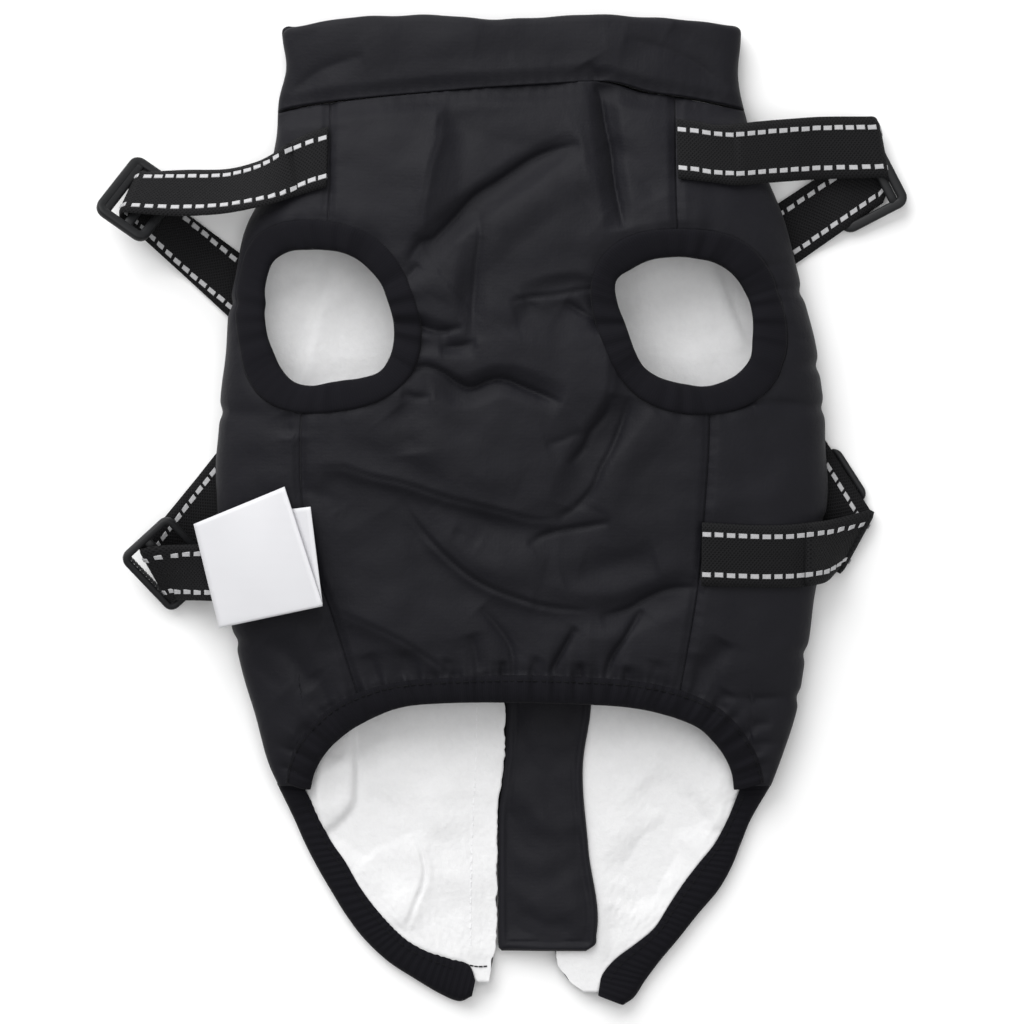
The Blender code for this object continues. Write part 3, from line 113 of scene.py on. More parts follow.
# how the seams draw the belly side in: line, depth, reach on either side
SEAM_DIPS = ((COLLAR_SEAM, 2.6, 7.0), (CHEST_SEAM_LEFT, 0.9, 3.0), (CHEST_SEAM_RIGHT, 0.9, 3.0))
COLLAR_ENDS, COLLAR_DIP, COLLAR_DIP_REACH = (-70.8, 77.6), 1.6, 6.0

# leg holes: middle, then the distance from it to the hole's edge every 15 degrees from +X
LEG_HOLES = {
    "left": (-57.6, 61.9, (21.7, 21.1, 21.5, 21.5, 21.8, 21.9, 22.0, 22.9, 24.8, 25.6, 24.0, 22.2,
                           21.5, 21.6, 21.7, 22.8, 23.6, 22.6, 20.9, 20.8, 22.3, 24.2, 23.8, 22.7)),
    "right": (61.1, 61.0, (22.9, 23.1, 22.9, 22.5, 21.7, 20.7, 20.6, 21.1, 22.4, 23.7, 25.6, 23.1,
                           20.5, 19.6, 19.9, 20.7, 20.6, 20.3, 20.6, 21.9, 22.9, 24.0, 24.5, 23.1)),
}

BELLY_HEM = (
    # open x, open y, seam x, seam y
    (-63.4, -90.0, -69.6, -87.6),
    (-61.8, -84.5, -68.2, -81.0),
    (-58.6, -79.0, -65.3, -74.5),
    (-53.7, -73.9, -59.8, -67.7),
    (-46.0, -68.7, -51.1, -61.0),
    (-33.7, -63.5, -36.9, -55.8),
    (-19.5, -61.9, -20.8, -53.9),
    (3.1, -61.6, 3.1, -52.9),
    (28.9, -62.3, 29.5, -53.6),
    (43.7, -63.5, 46.6, -55.2),
    (55.3, -66.1, 59.8, -58.4),
    (64.4, -69.7, 69.5, -62.9),
    (69.5, -73.9, 75.6, -68.1),
    (73.7, -79.0, 80.5, -74.5),
    (76.3, -84.5, 83.6, -81.0),
    (77.2, -90.0, 85.2, -87.6),
)
TAIL_BINDINGS = {
    # outer x, outer y, inner x, inner y
    "left": ((-71.4, -90.4, -63.2, -90.6), (-66.9, -99.7, -59.6, -97.5),
             (-63.5, -107.4, -55.4, -106.4), (-59.5, -115.2, -50.6, -113.4),
             (-55.0, -122.9, -46.0, -121.4), (-50.2, -130.7, -41.4, -127.8),
             (-44.4, -138.4, -36.0, -133.9), (-36.6, -145.8, -30.6, -138.9),
             (-28.2, -151.3, -24.0, -142.6), (-19.8, -156.3, -16.5, -145.0),
             (-13.5, -158.8, -10.4, -147.2), (-9.3, -157.2, -8.2, -152.0)),
    "right": ((86.6, -90.4, 77.4, -90.6), (81.2, -99.7, 74.2, -98.6),
              (78.0, -107.4, 69.8, -107.2), (74.9, -115.2, 64.8, -113.6),
              (70.5, -122.9, 59.6, -120.4), (63.9, -130.7, 54.8, -127.6),
              (57.8, -138.4, 50.0, -135.0), (52.4, -144.8, 43.4, -140.6),
              (49.0, -149.2, 37.4, -145.2), (46.4, -152.8, 33.4, -150.0),
              (43.4, -157.4, 32.4, -153.6), (39.8, -160.0, 31.9, -156.9)),
}
TAIL_EDGES = {
    # y, x of the centre edge
    "left": ((-152.6, -4.2), (-146.0, -2.6), (-137.0, -1.4), (-110.0, -1.1), (140.0, -1.1)),
    "right": ((-155.8, 27.0), (-152.0, 22.0), (-147.0, 18.6), (-142.0, 17.6), (140.0, 17.6)),
}

RING_POINTS = 96            # of a leg hole's outline, where it is only tested against

# puckers and gathers of the cloth: height, and reach from the seam
PUCKER, GATHER, FINE_GATHER = (0.07, 4.0), (0.55, 5.0), (0.30, 2.5)
HEM_DIP, LEG_TUCK, LEG_DIP = (0.8, 2.5), (0.30, 4.0), (0.6, 2.2)

# the broad rolls of the belly side, as in the solids
ROLLS = (
    # points, height, half width
    (((-19.5, 122.9), (-21.0, 104.0), (-22.7, 87.4)), 2.5, 9.0),
    (((26.0, 118.0), (8.0, 109.0), (-18.0, 90.0), (-29.0, 76.0)), -4.5, 6.5),
    (((30.0, 111.0), (10.0, 99.0), (-12.0, 80.0), (-20.0, 68.0)), 3.0, 9.0),
    (((32.5, 137.0), (34.7, 118.0), (38.0, 90.0)), -5.0, 5.5),
    (((7.0, 68.5), (20.0, 72.0), (29.0, 70.5), (34.5, 58.0)), -4.0, 5.0),
    (((-7.3, 88.0), (-9.5, 70.0), (-8.5, 54.0)), -2.5, 6.0),
    (((-29.0, 60.5), (-22.0, 58.5), (-16.5, 56.5)), -2.5, 4.0),
    (((-28.0, 53.0), (-18.0, 53.0), (-8.0, 51.5)), -2.5, 4.0),
    (((-30.0, 46.0), (-13.0, 38.0), (2.0, 42.0), (20.0, 35.0)), -4.0, 6.0),
    (((46.0, 38.0), (33.0, 24.0), (27.0, 14.0), (22.0, 2.0)), -5.5, 8.0),
    (((52.0, 30.0), (40.0, 17.0), (31.0, 0.0)), 2.5, 8.0),
    (((-56.0, 22.0), (-30.0, 13.0), (0.0, -6.0), (26.0, 4.0)), -1.2, 6.5),
    (((-50.0, 30.0), (-24.0, 22.0), (6.0, 8.0)), 2.2, 9.0),
    (((-32.0, 4.0), (-22.0, -13.0), (-5.0, -26.0), (14.0, -30.0)), -1.6, 8.0),
    (((10.0, -30.0), (32.0, -34.0), (48.0, -30.0), (64.0, -23.0)), -3.8, 8.0),
    (((26.0, -17.0), (38.0, -20.0), (50.0, -16.0)), -2.0, 8.0),
    (((-20.0, 2.0), (-6.0, -14.0), (14.0, -20.0)), 2.2, 9.0),
    (((72.0, -42.0), (66.0, -50.0), (62.0, -57.0)), -2.5, 5.0),
    (((-70.0, -40.0), (-64.0, -50.0), (-62.0, -58.0)), -2.0, 5.0),
)
ROLL_SHARE = 0.5

WAVES = 30                  # in soft noise
GROOVE_WIDTH = 0.8
CREASES = (
    # name, points, height at the line, reach and hollow on its left, the same on its right,
    # bite, softness, groove
    ("chest lap", ((25.7, 117.7), (16.6, 115.7), (8.7, 112.3), (-0.3, 106.1), (-8.2, 101.1),
     (-15.0, 93.7), (-21.8, 86.9), (-25.7, 85.8), (-29.9, 79.9)),
     -2.9, 11, 0, 6, 0, -0.35, 0.5, 0.7),
    ("collar pleat", ((30.7, 138.0), (32.4, 132.1), (33.6, 124.2), (35.3, 116.3), (36.6, 105.0),
     (38.1, 97.1), (39.4, 90.6)),
     -2.6, 8, 0, 4.5, 0, -0.5, 0.4, 1.3),
    ("pleat bank", ((35.8, 119.7), (42.6, 111.8), (47.1, 105.0), (49.9, 99.9)), -1.3, 4, 0, 4, 0, 0, 2, 0),
    ("shoulder fold", ((-19.5, 131.0), (-19.7, 119.7), (-21.8, 112.9), (-23.8, 103.9), (-25.4, 94.8),
     (-25.7, 86.9)),
     0.8, 5, -1.9, 15, 0, 0, 0.4, 0.6),
    ("collar hollow", ((-20.0, 126.0), (-8.0, 121.5), (4.0, 117.8), (14.0, 115.8), (24.0, 119.0)),
     -1.8, 5, 0, 5, 0, 0, 3, 0),
    ("breast line", ((-7.4, 97.0), (-6.5, 89.2), (-7.7, 79.0), (-8.4, 70.0), (-8.9, 63.2),
     (-8.8, 54.8)),
     -1.4, 6, 0, 4, 0, -0.2, 0.8, 0.5),
    ("breast tuck", ((3.0, 66.8), (8.7, 68.3), (17.8, 69.2), (26.2, 70.7), (32.0, 71.4)),
     0.3, 7, 0, 3.5, -1.6, 0, 0.4, 1.4),
    ("breast tuck low", ((20.6, 66.8), (26.8, 63.2), (30.2, 60.7), (34.5, 55.5)),
     -1.6, 3.5, 0, 3.5, 0, 0, 0.5, 0.9),
    ("tuck hollow", ((9.9, 67.2), (6.7, 61.0), (4.0, 55.9)), -1.2, 3.5, 0, 3.5, 0, 0, 2, 0),
    ("arm tuck upper", ((-29.1, 61.5), (-25.7, 59.3), (-19.5, 57.6), (-12.2, 58.9)),
     -2, 3.5, 0, 2.5, 0, 0.4, 0.5, 0.8),
    ("arm tuck lower", ((-19.5, 51.9), (-13.9, 52.5), (-7.7, 54.4)), -1.6, 3, 0, 2.5, 0, 0.3, 0.6, 0.5),
    ("under chest", ((-30.2, 44.9), (-24.0, 46.3), (-18.4, 44.3), (-13.9, 41.2), (-9.3, 39.5),
     (-3.7, 41.8), (1.9, 42.0), (7.6, 39.5), (14.4, 36.7), (19.4, 34.4)),
     -1.8, 3, 0, 4, 0, 0.6, 0.4, 1.4),
    ("chest edge", ((32.7, 58.7), (35.3, 51.9), (35.6, 44.0), (34.5, 37.3), (30.7, 29.4)),
     0.6, 3, -1.5, 7, 0, 0, 0.5, 0.8),
    ("upper right crease", ((18.3, 110.1), (24.0, 103.3), (29.0, 97.7), (33.0, 94.3)),
     -1.1, 4, 0, 4, 0, 0, 1.2, 0),
    ("left band nick", ((-30.8, 74.5), (-28.5, 76.2), (-26.3, 79.0)), -1.4, 2.5, 0, 2.5, 0, 0, 0.5, 0.3),
    ("left band nick low", ((-31.9, 37.3), (-26.3, 36.4), (-21.8, 36.7)),
     -1.4, 2.5, 0, 2.5, 0, 0, 0.5, 0.3),
    ("chest seam tuck", ((-64.1, 23.1), (-63.8, 16.3), (-61.9, 7.3), (-54.5, 3.9), (-52.0, 0.3)),
     -1, 3, 0, 3, 0, 0, 1, 0),
    ("belly sweep", ((-57.7, 13.8), (-50.0, 13.8), (-42.1, 11.2), (-30.8, 8.7), (-19.5, 4.8),
     (-8.2, 1.9), (1.9, -0.6), (9.9, -2.7), (17.8, -2.7)),
     0.8, 12, 0, 4.5, -2.3, 0, 0.5, 1.1),
    ("belly rise", ((17.8, -2.7), (24.5, 1.6), (29.6, 7.3), (32.4, 14.0), (35.6, 19.7), (38.3, 26.5),
     (41.7, 36.6)),
     -1.9, 3, 0, 6, 0, 0.5, 0.5, 0.8),
    ("belly rise inner", ((21.7, 14.6), (26.8, 20.2), (29.0, 25.3), (33.6, 31.0), (35.8, 37.7)),
     -1.5, 4, 0, 2.5, 0, 0.4, 0.5, 0.6),
    ("side whisker", ((14.4, 20.8), (20.0, 22.8), (26.2, 25.3)), -1.1, 3, 0, 3, 0, 0, 1, 0.3),
    ("lower sweep", ((-31.4, 3.0), (-28.5, -2.0), (-24.0, -7.7), (-18.4, -13.6), (-10.5, -20.4),
     (-2.6, -24.9), (6.5, -28.3), (14.4, -30.6), (23.4, -31.7), (28.5, -32.0)),
     0.5, 9, 0, 5, -1.6, 0, 0.4, 1.5),
    ("lower sweep right", ((31.9, -34.2), (40.3, -31.7), (47.1, -27.8), (53.9, -25.0), (63.5, -24.4)),
     -1.7, 5, 0, 3, 0, 0.35, 0.6, 0.8),
    ("navel tuck", ((8.9, -11.0), (13.2, -8.0), (18.9, -6.3), (25.7, -5.2), (35.3, -3.5)),
     -1.3, 3.5, 0, 5, 0, 0.4, 0.5, 1),
    ("lower hollow", ((20.0, -22.7), (32.4, -18.7), (40.3, -15.3), (49.9, -13.6)),
     -1.8, 5, 0, 5, 0, 0, 3, 0),
    ("left diagonal", ((-54.5, -31.4), (-47.7, -34.5), (-38.7, -38.5), (-30.8, -42.4), (-24.0, -46.9),
     (-15.9, -52.8)),
     0.5, 8, 0, 4.5, -1.6, 0, 0.6, 0.8),
    ("sweep nick", ((-15.0, -6.3), (-11.0, -8.0), (-6.9, -10.6)), -0.8, 2.5, 0, 2.5, 0, 0, 0.6, 0.2),
    ("under arm", ((-34.2, 32.1), (-30.8, 27.6), (-29.1, 22.5), (-28.5, 18.5)),
     -1.5, 4.5, 0, 4.5, 0, 0, 2, 0),
    ("under arm left", ((-66.7, 32.1), (-67.5, 28.7), (-68.3, 24.2)), -1.2, 3, 0, 3, 0, 0, 1, 0),
    ("hem pull 1", ((-6.5, -31.1), (-1.4, -36.8), (3.1, -43.6), (4.8, -53.2)),
     -1.6, 4, 0, 3, 0, 0, 0.8, 0.6),
    ("hem pull 2", ((-9.6, -39.6), (-8.2, -44.7), (-6.9, -51.5)), -1.3, 3, 0, 3, 0, 0, 1.2, 0.3),
    ("hem pull 3", ((24.3, -37.3), (20.0, -44.7), (15.3, -53.2)), -1.8, 3, 0, 3, 0, -0.4, 0.5, 1.1),
    ("hem pull 4", ((45.4, -31.7), (40.3, -40.2), (35.8, -46.9), (33.6, -54.3)),
     -1.8, 4, 0, 3, 0, -0.4, 0.5, 1.2),
    ("hem pull 5", ((25.7, -48.8), (25.7, -54.9)), -1.2, 2, 0, 2, 0, 0, 0.4, 0.9),
    ("hem pull 6", ((-30.8, -44.7), (-30.5, -53.7)), -1.1, 2.5, 0, 2.5, 0, 0, 0.7, 0.1),
    ("hem pull 7", ((40.9, -50.0), (40.1, -56.2)), -1.2, 2, 0, 2, 0, 0, 0.4, 0.8),
    ("hem pull 8", ((-75.4, -41.3), (-66.9, -49.2), (-59.6, -56.2)), -1.6, 5, 0, 4, 0, 0, 1.5, 0),
    ("hem pull 9", ((0.8, -48.1), (0.3, -53.7)), -1, 2, 0, 2, 0, 0, 0.4, 0.5),
    ("hem pull 10", ((-42.1, -45.8), (-39.8, -54.9)), -1, 3, 0, 3, 0, 0, 0.8, 0),
    ("hem pull 11", ((-60.0, -52.0), (-55.0, -61.0)), -1, 3, 0, 3, 0, 0, 0.8, 0),
    ("hem pull 12", ((64.0, -46.0), (63.0, -60.0)), -1.1, 3, 0, 3, 0, 0, 0.8, 0),
    ("hem pull 13", ((12.0, -47.0), (9.0, -53.6)), -0.9, 2, 0, 2, 0, 0, 0.5, 0.2),
    ("hem pull 14", ((-17.0, -47.5), (-18.0, -54.0)), -0.9, 2, 0, 2, 0, 0, 0.5, 0.2),
    ("hem pull 15", ((73.5, -58.0), (70.0, -64.5)), -1, 2.5, 0, 2.5, 0, 0, 0.6, 0.1),
    ("hem pull 16", ((50.5, -48.0), (48.5, -56.8)), -1, 2.5, 0, 2.5, 0, 0, 0.6, 0.1),
    ("flank tuck 1", ((83.0, 78.0), (88.2, 79.7), (94.5, 80.5)), -1.1, 2.5, 0, 2.5, 0, 0, 0.5, 0.3),
    ("flank tuck 2", ((85.0, 71.5), (92.1, 71.9), (98.0, 73.0)), -1, 2.2, 0, 2.2, 0, 0, 0.5, 0.4),
    ("flank tuck 3", ((86.0, 68.0), (92.4, 67.7), (98.5, 67.0)), -0.9, 2.2, 0, 2.2, 0, 0, 0.5, 0.1),
    ("flank tuck 4", ((87.0, 56.0), (95.3, 55.8), (101.0, 55.0)), -1, 2.6, 0, 2.6, 0, 0, 0.6, 0.1),
    ("right quilt line", ((70.0, 34.8), (86.0, 34.8), (97.0, 34.6), (104.0, 34.5)),
     -1.4, 3.5, 0, 3.5, 0, 0, 0.6, 0.4),
    ("right haunch", ((72.4, -41.6), (69.0, -52.0), (70.2, -61.5)), -1.6, 4, 0, 4, 0, 0, 0.8, 0.1),
    ("hip line 1", ((73.2, -60.0), (83.0, -60.4), (93.4, -60.0)), -1.1, 2.5, 0, 2.5, 0, 0, 0.5, 0.4),
    ("hip line 2", ((79.2, -68.7), (87.3, -68.9)), -0.8, 2, 0, 2, 0, 0, 0.5, 0.2),
    ("hip line 3", ((82.4, -74.8), (91.1, -75.0)), -0.8, 2, 0, 2, 0, 0, 0.5, 0.2),
    ("left flank dent", ((-88.0, 31.0), (-80.0, 30.6), (-70.0, 31.3)), -1.4, 4, 0, 4, 0, 0, 2, 0),
    ("left flank crease", ((-69.5, 31.3), (-68.4, 27.0), (-67.9, 23.5)), -1.1, 3, 0, 3, 0, 0, 0.8, 0.1),
    ("left hip roll", ((-84.0, -48.0), (-76.0, -52.0), (-70.0, -58.0)), -1.1, 4, 0, 4, 0, 0, 1.5, 0),
)
COLLAR_CREASES = (
    ("collar sweep left", ((-70.0, 131.0), (-66.0, 136.0), (-58.0, 142.0), (-44.0, 147.0)),
     -1.6, 5, 0, 7, 0, 0.3, 0.8, 0),
    ("collar sweep left 2", ((-52.0, 134.5), (-40.0, 141.0), (-20.0, 145.0), (4.0, 146.0)),
     -0.9, 6, 0, 8, 0, 0, 2.5, 0),
    ("collar sweep right", ((40.0, 152.0), (52.0, 149.0), (63.0, 144.0), (74.0, 136.0)),
     -1.8, 5, 0, 6, 0, 0.3, 0.8, 0),
    ("collar roll right", ((55.0, 156.0), (66.0, 150.0), (76.0, 147.0)), -1, 4, 0, 4, 0, 0, 1.5, 0),
    ("collar mid", ((-8.0, 150.0), (14.0, 147.0), (34.0, 149.0)), -0.9, 6, 0, 6, 0, 0, 3, 0),
    ("collar pleat top", ((28.0, 144.5), (30.0, 141.0), (31.5, 138.0)), -1.1, 3, 0, 3, 0, 0, 0.6, 0.2),
)
LINING_CREASES = (
    # creases of the fleece, seen through the leg holes and past the belly hem
    ("left hole", ((-54.0, 82.6), (-56.5, 72.0), (-60.5, 58.0), (-63.0, 46.0), (-66.0, 36.0)),
     0.5, 8, 0, 3.5, -1.6, 0, 0.6, 0.3),
    ("right hole", ((66.5, 84.0), (70.0, 75.0), (75.0, 62.0), (79.5, 52.0)),
     0.5, 3.5, -1.6, 7, 0, 0, 0.6, 0.3),
    ("hem left long", ((-28.2, -104.0), (-25.0, -112.0), (-24.6, -119.0), (-27.5, -127.0),
     (-30.8, -135.2)),
     1.5, 2.5, 0, 8, 0, 0, 0.5, 1.1),
    ("hem left curl", ((-56.5, -78.0), (-58.5, -86.0), (-58.5, -94.0), (-55.0, -103.0)),
     2.5, 7, 0, 3, 0, 0, 1.0, 0),
    ("hem left fold", ((-46.6, -68.0), (-46.2, -80.0), (-46.4, -93.2), (-49.0, -98.5), (-52.4, -102.6)),
     -1.2, 4, 0, 2.5, 1.6, 0, 0.4, 0.7),
    ("hem left fold low", ((-53.0, -100.0), (-48.0, -106.0), (-42.0, -112.0)),
     -1.6, 4, 0, 4, 0, 0, 0.6, 0.3),
    ("hem left sweep", ((-40.0, -76.0), (-40.5, -92.0), (-37.0, -110.0), (-32.0, -124.0)),
     -1.1, 7, 0, 7, 0, 0, 2.5, 0),
    ("hem right fold", ((75.5, -80.0), (72.0, -90.0), (69.0, -103.0)), 1.7, 3.5, 0, 6, 0, 0, 0.5, 0.4),
    ("hem right fold low", ((69.0, -101.0), (63.0, -98.0), (57.0, -93.0)), -1.5, 4, 0, 4, 0, 0, 0.6, 0.2),
    ("hem right shade", ((46.0, -88.0), (56.0, -98.0), (48.0, -110.0), (42.0, -122.0)),
     -1.7, 5, 0, 5, 0, 0, 2, 0),
    ("hem right shade 2", ((60.0, -108.0), (50.0, -118.0), (42.0, -130.0)), -1.4, 4, 0, 5, 0, 0, 1.5, 0),
    ("tail right roll", ((34.0, -128.0), (36.0, -140.0), (30.0, -150.0)), -1.1, 4, 0, 4, 0, 0, 1.5, 0),
)

STRAPS = {
    # front: rows of edge a x, y, z and edge b x, y, z, where z None lies on the coat
    # end: the same for the sewn end; bend: radius round the bar
    # sinks: shares of the return between which it goes down to the floor
    # turn: degrees that the slider is turned by, None where it lies flat on the floor
    # slip, slide: how far the return and the slider are moved along the bar
    # arch: place, spread and height of an arch in the return
    "upper_left": dict(
        front=((-55.3, 123.6, None, -55.8, 104.0, None),
               (-62.0, 121.4, None, -60.6, 102.6, None),
               (-68.6, 118.2, 19.2, -66.0, 101.0, 23.0),
               (-74.0, 114.6, 15.2, -71.6, 99.2, 23.0),
               (-80.0, 112.2, 11.0, -79.0, 97.4, 22.0),
               (-89.0, 110.4, 7.6, -90.0, 95.6, 19.6),
               (-102.0, 110.2, 7.0, -104.0, 95.0, 18.4),
               (-114.4, 109.6, 6.9, -119.6, 96.0, 18.1)),
        end=(-67.3, 70.8, REST_Z, -79.5, 55.0, REST_Z), bend=LOOP_RADIUS, sinks=(0.0, 0.48), turn=-14.0),
    "upper_right": dict(
        front=((56.5, 126.0, None, 57.0, 106.6, None),
               (63.0, 125.2, None, 63.0, 106.0, None),
               (69.0, 124.2, None, 69.0, 105.4, None),
               (76.0, 124.6, 18.6, 76.0, 104.6, 22.0),
               (84.0, 125.6, 15.0, 84.0, 105.4, 17.6),
               (94.0, 126.6, 11.6, 94.0, 106.4, 12.6),
               (104.0, 127.4, 8.6, 104.0, 107.2, 8.6),
               (119.0, 127.6, 6.6, 122.6, 107.8, 6.6)),
        end=(71.8, 87.8, REST_Z, 82.7, 71.0, REST_Z), bend=LOOP_RADIUS, sinks=(0.0, 0.48), turn=17.0,
        slip=8.0, slide=7.6, arch=(0.31, 0.16, 2.2)),
    "lower_left": dict(
        front=((-63.0, -9.8, None, -63.0, -28.8, None),
               (-70.0, -10.0, None, -70.0, -29.0, None),
               (-77.0, -10.2, None, -77.0, -29.2, None),
               (-83.0, -10.4, None, -83.0, -29.2, None),
               (-90.0, -10.6, 18.6, -90.0, -29.0, 17.6),
               (-98.0, -10.8, 17.4, -98.0, -28.8, 12.4),
               (-106.0, -11.0, 15.8, -104.0, -28.8, 7.4),
               (-113.6, -11.6, 14.6, -104.4, -28.6, 5.8)),
        end=(-78.9, 35.6, REST_Z, -63.6, 22.7, REST_Z), bend=LOOP_RADIUS, sinks=(0.0, 0.48), turn=14.0),
    "lower_right": dict(
        front=((64.6, -3.6, None, 64.4, -24.0, None),
               (71.0, -4.0, None, 71.0, -24.2, None),
               (78.0, -4.4, None, 78.0, -24.4, None),
               (85.0, -4.6, None, 85.0, -24.6, None),
               (92.0, -4.4, None, 92.0, -24.6, None),
               (98.6, -3.8, 19.2, 98.4, -24.2, 18.2),
               (107.4, -2.6, 12.6, 104.8, -22.9, 12.0),
               (119.7, 0.4, 4.8, 108.7, -19.6, 4.8)),
        end=(92.7, 42.5, REST_Z, 75.9, 31.7, REST_Z),
        bend=FOLD_RADIUS, sinks=(0.585, 0.80), turn=None),
}
STRAP_REST = 0.45           # clear space between webbing and cloth
SELVEDGE = 14               # exponent that rounds the webbing's edges
RETURN_ROWS = 12            # rows of the return that lie hidden under the back
REACH_UNDER, REACH_FADE = 12.2, 1.6    # half width of the webbing's bed in the back's under face

# sliders: span of each bar along the strap, out from the bend, and the widths of the side rails
SLIDER_THICK, THIN_BAR, RAIL_CLEAR = 2.8, 1.0, 0.9
OUTER_BAR, MIDDLE_BAR, INNER_BAR = (6.1, 8.8), (-4.6, -1.7), (-11.0, -7.6)
RAIL = {"upper_left": 3.1, "upper_right": 3.2, "lower_left": 2.3, "lower_right": 2.3}
FRAME_REACH = {"upper_right": (-19.0, 4.8), "lower_left": (-14.0, 7.4)}
CROSS_BARS = {"upper_left": (MIDDLE_BAR, (3.75, 7.4)), "upper_right": ((-1.5, 1.4),)}
FRAME_DROP = 2.4            # how far the inner end of an arched strap's slider hangs down
FRAME_CORNER, BAR_POINTS, BAR_SQUARENESS = 2.2, 16, 0.6
GRIPPED, GRIPS, GRIP_SPAN = "lower_left", 15, 0.80     # the slider whose outer bar shows its ribs

# the slider that lies flat under the coat's side, and the rise of the back over it
FLAT_SLIDER = "lower_right"
SLIDER_ALONG, SLIDER_SLACK, SLIDER_CLEAR = 12.5, 0.9, 0.1
RISE, RISE_FROM, RISE_TO, RISE_BESIDE, RISE_FADE = 3.45, -16.0, 15.0, -15.5, 14.0
DASH_PITCH, DASH_LENGTH, DASH_WIDTH, DASH_ROW, DASH_RISE = 3.9, 2.9, 1.6, 6.45, 0.30

# care label: its bottom fold, then the tops of the two leaves, as left x, y and right x, y
LABEL_FOLD = (-90.6, -36.8, -56.9, -29.6)
LABEL_BACK_TOP = (-91.6, -2.4, -60.8, 1.4)
LABEL_FRONT_TOP = (-98.6, -4.2, -69.2, 7.8)
LABEL_WALL, LABEL_LOOP, LABEL_REST = 0.35, 0.7, 0.5
LABEL_ROWS = 72             # rows of the strap that the label lies on

# zip and its guard flap; the flap's edges are rows of y, x
CHAIN_X, CHAIN_TOP, TOOTH_PITCH = 8.25, 141.0, 1.9
GUARD_END, GUARD_WALL, GUARD_Z, GUARD_STEP = -142.3, 1.75, 3.15, 2.0
GUARD_LEFT = np.array(((GUARD_END, 0.4), (-141.2, -0.7), (-137.0, -0.7), (-109.0, -0.8), (-96.0, -0.4),
                       (-80.0, 1.6), (-66.0, 1.9), (COLLAR_TOP - 3.0, 1.9)))
GUARD_RIGHT = np.array(((GUARD_END, 27.6), (-140.6, 30.2), (-137.0, 31.0), (-109.0, 28.4), (-80.0, 26.8),
                        (-66.0, 29.0), (-52.0, 29.8), (COLLAR_TOP - 3.0, 29.5)))

# the back's under face: quilting lines at these y, the straps' beds, and the most it is drawn up
QUILT_LINES, QUILT_WIDTH = (104.0, 68.5, 32.5, -3.5, -43.0, -78.0, -112.0), 1.6
QUILT_PULL, STRAP_BED, MOST_PULL = 0.7, 1.75, 2.1
LINING_SETBACK, RAGGED = 2.4, 0.22     # of the lining's edge beside the zip
TAILS_FROM = -88.8          # y below which the back's outer edge is bound
LINING_SHARE = 0.73         # how far the lining reaches up the curl
FLEECE_TOP = SHELL + SEAM_GAP + FLEECE

# rows of sewing: pitch, then length, width and height of a stitch
SEAM_THREAD = (2.6, 1.9, 0.4, 0.22)
TAIL_THREAD = (2.6, 1.9, 0.4, 0.2)
TAIL_END_THREAD = (1.5, 1.3, 0.5, 0.22)
FLEECE_THREAD = (2.7, 1.9, 0.45, 0.15)
TAIL_END_STITCH = ((-11.6, -146.6), (-7.4, -147.4), (-3.4, -147.2))
FLEECE_STITCH = ((-7.6, -60.0), (-8.0, -80.0), (-9.0, -100.0), (-9.6, -120.0), (-9.8, -143.0))

# cut of the strips, across, and of the guard flap
LEG_CUT, HEM_CUT, TAIL_CUT, LABEL_CUT = 2 * BAND * 0.62, 13.0, 16.0, 34.0
GUARD_CUT = (32.0, 298.0)

# sections of the bindings: share of the way across, and depth or height as a share of the wall
LEG_SECTION = ((-0.02, 0.50), (0.03, 0.22), (0.12, 0.02), (0.28, -0.08), (0.45, -0.12), (0.62, -0.12),
               (0.80, -0.08), (0.93, 0.02), (1.02, 0.20), (1.04, 0.55), (0.98, 0.92), (0.80, 1.06),
               (0.50, 1.10), (0.22, 1.04), (0.05, 0.82))
HEM_SECTION = ((0.0, 0.50), (0.03, 0.20), (0.12, -0.02), (0.35, -0.12), (0.62, -0.16), (0.88, -0.12),
               (0.99, -0.02), (1.03, 0.15), (1.03, 0.85), (0.99, 1.02), (0.62, 1.14), (0.12, 1.02),
               (0.03, 0.80))
TAIL_SECTION = ((0.0, 0.34), (0.02, 0.60), (0.10, 0.86), (0.25, 0.98), (0.50, 1.04), (0.78, 1.05),
                (0.97, 1.04), (1.03, 0.98), (1.03, 0.10), (1.0, 0.0), (0.60, 0.0), (0.20, 0.0),
                (0.04, 0.10))

# studio, in metres and watts: softboxes as place, side and power, all aimed at the origin
FLOOR_HALF, FLOOR_Z = 2.5, -0.0002
SOFTBOXES = {
    "key_softbox": ((-0.84, 1.63, 1.25), 2.1, 65.0),
    "fill_softbox": ((0.95, -0.35, 0.9), 0.9, 2.2),
    "top_softbox": ((0.0, 0.0, 1.9), 1.6, 12.5),
}
SKY = 0.34
CAMERA_X, CAMERA_Y, CAMERA_Z = 0.0037, -0.0003, 2.2
VIEW_SPAN, VIEW_LEVEL, SENSOR = 0.3303, 0.012, 36.0    # width seen, the height where, sensor in mm


# ------------------------------------------------------------------ curves and distances
def smooth_table(rows, column, at):
    """One column of a table at the given places: cubic Hermite pieces with averaged slopes."""
    rows = np.asarray(rows, float)
    rows = rows[np.argsort(rows[:, 0])]
    knots, value = rows[:, 0], rows[:, column]
    slope = np.gradient(value, knots)
    at = np.clip(at, knots[0], knots[-1])
    i = np.clip(np.searchsorted(knots, at) - 1, 0, len(knots) - 2)
    step = knots[i + 1] - knots[i]
    t = (at - knots[i]) / step
    return ((2 * t**3 - 3 * t**2 + 1) * value[i] + (t**3 - 2 * t**2 + t) * step * slope[i]
            + (3 * t**2 - 2 * t**3) * value[i + 1] + (t**3 - t**2) * step * slope[i + 1])


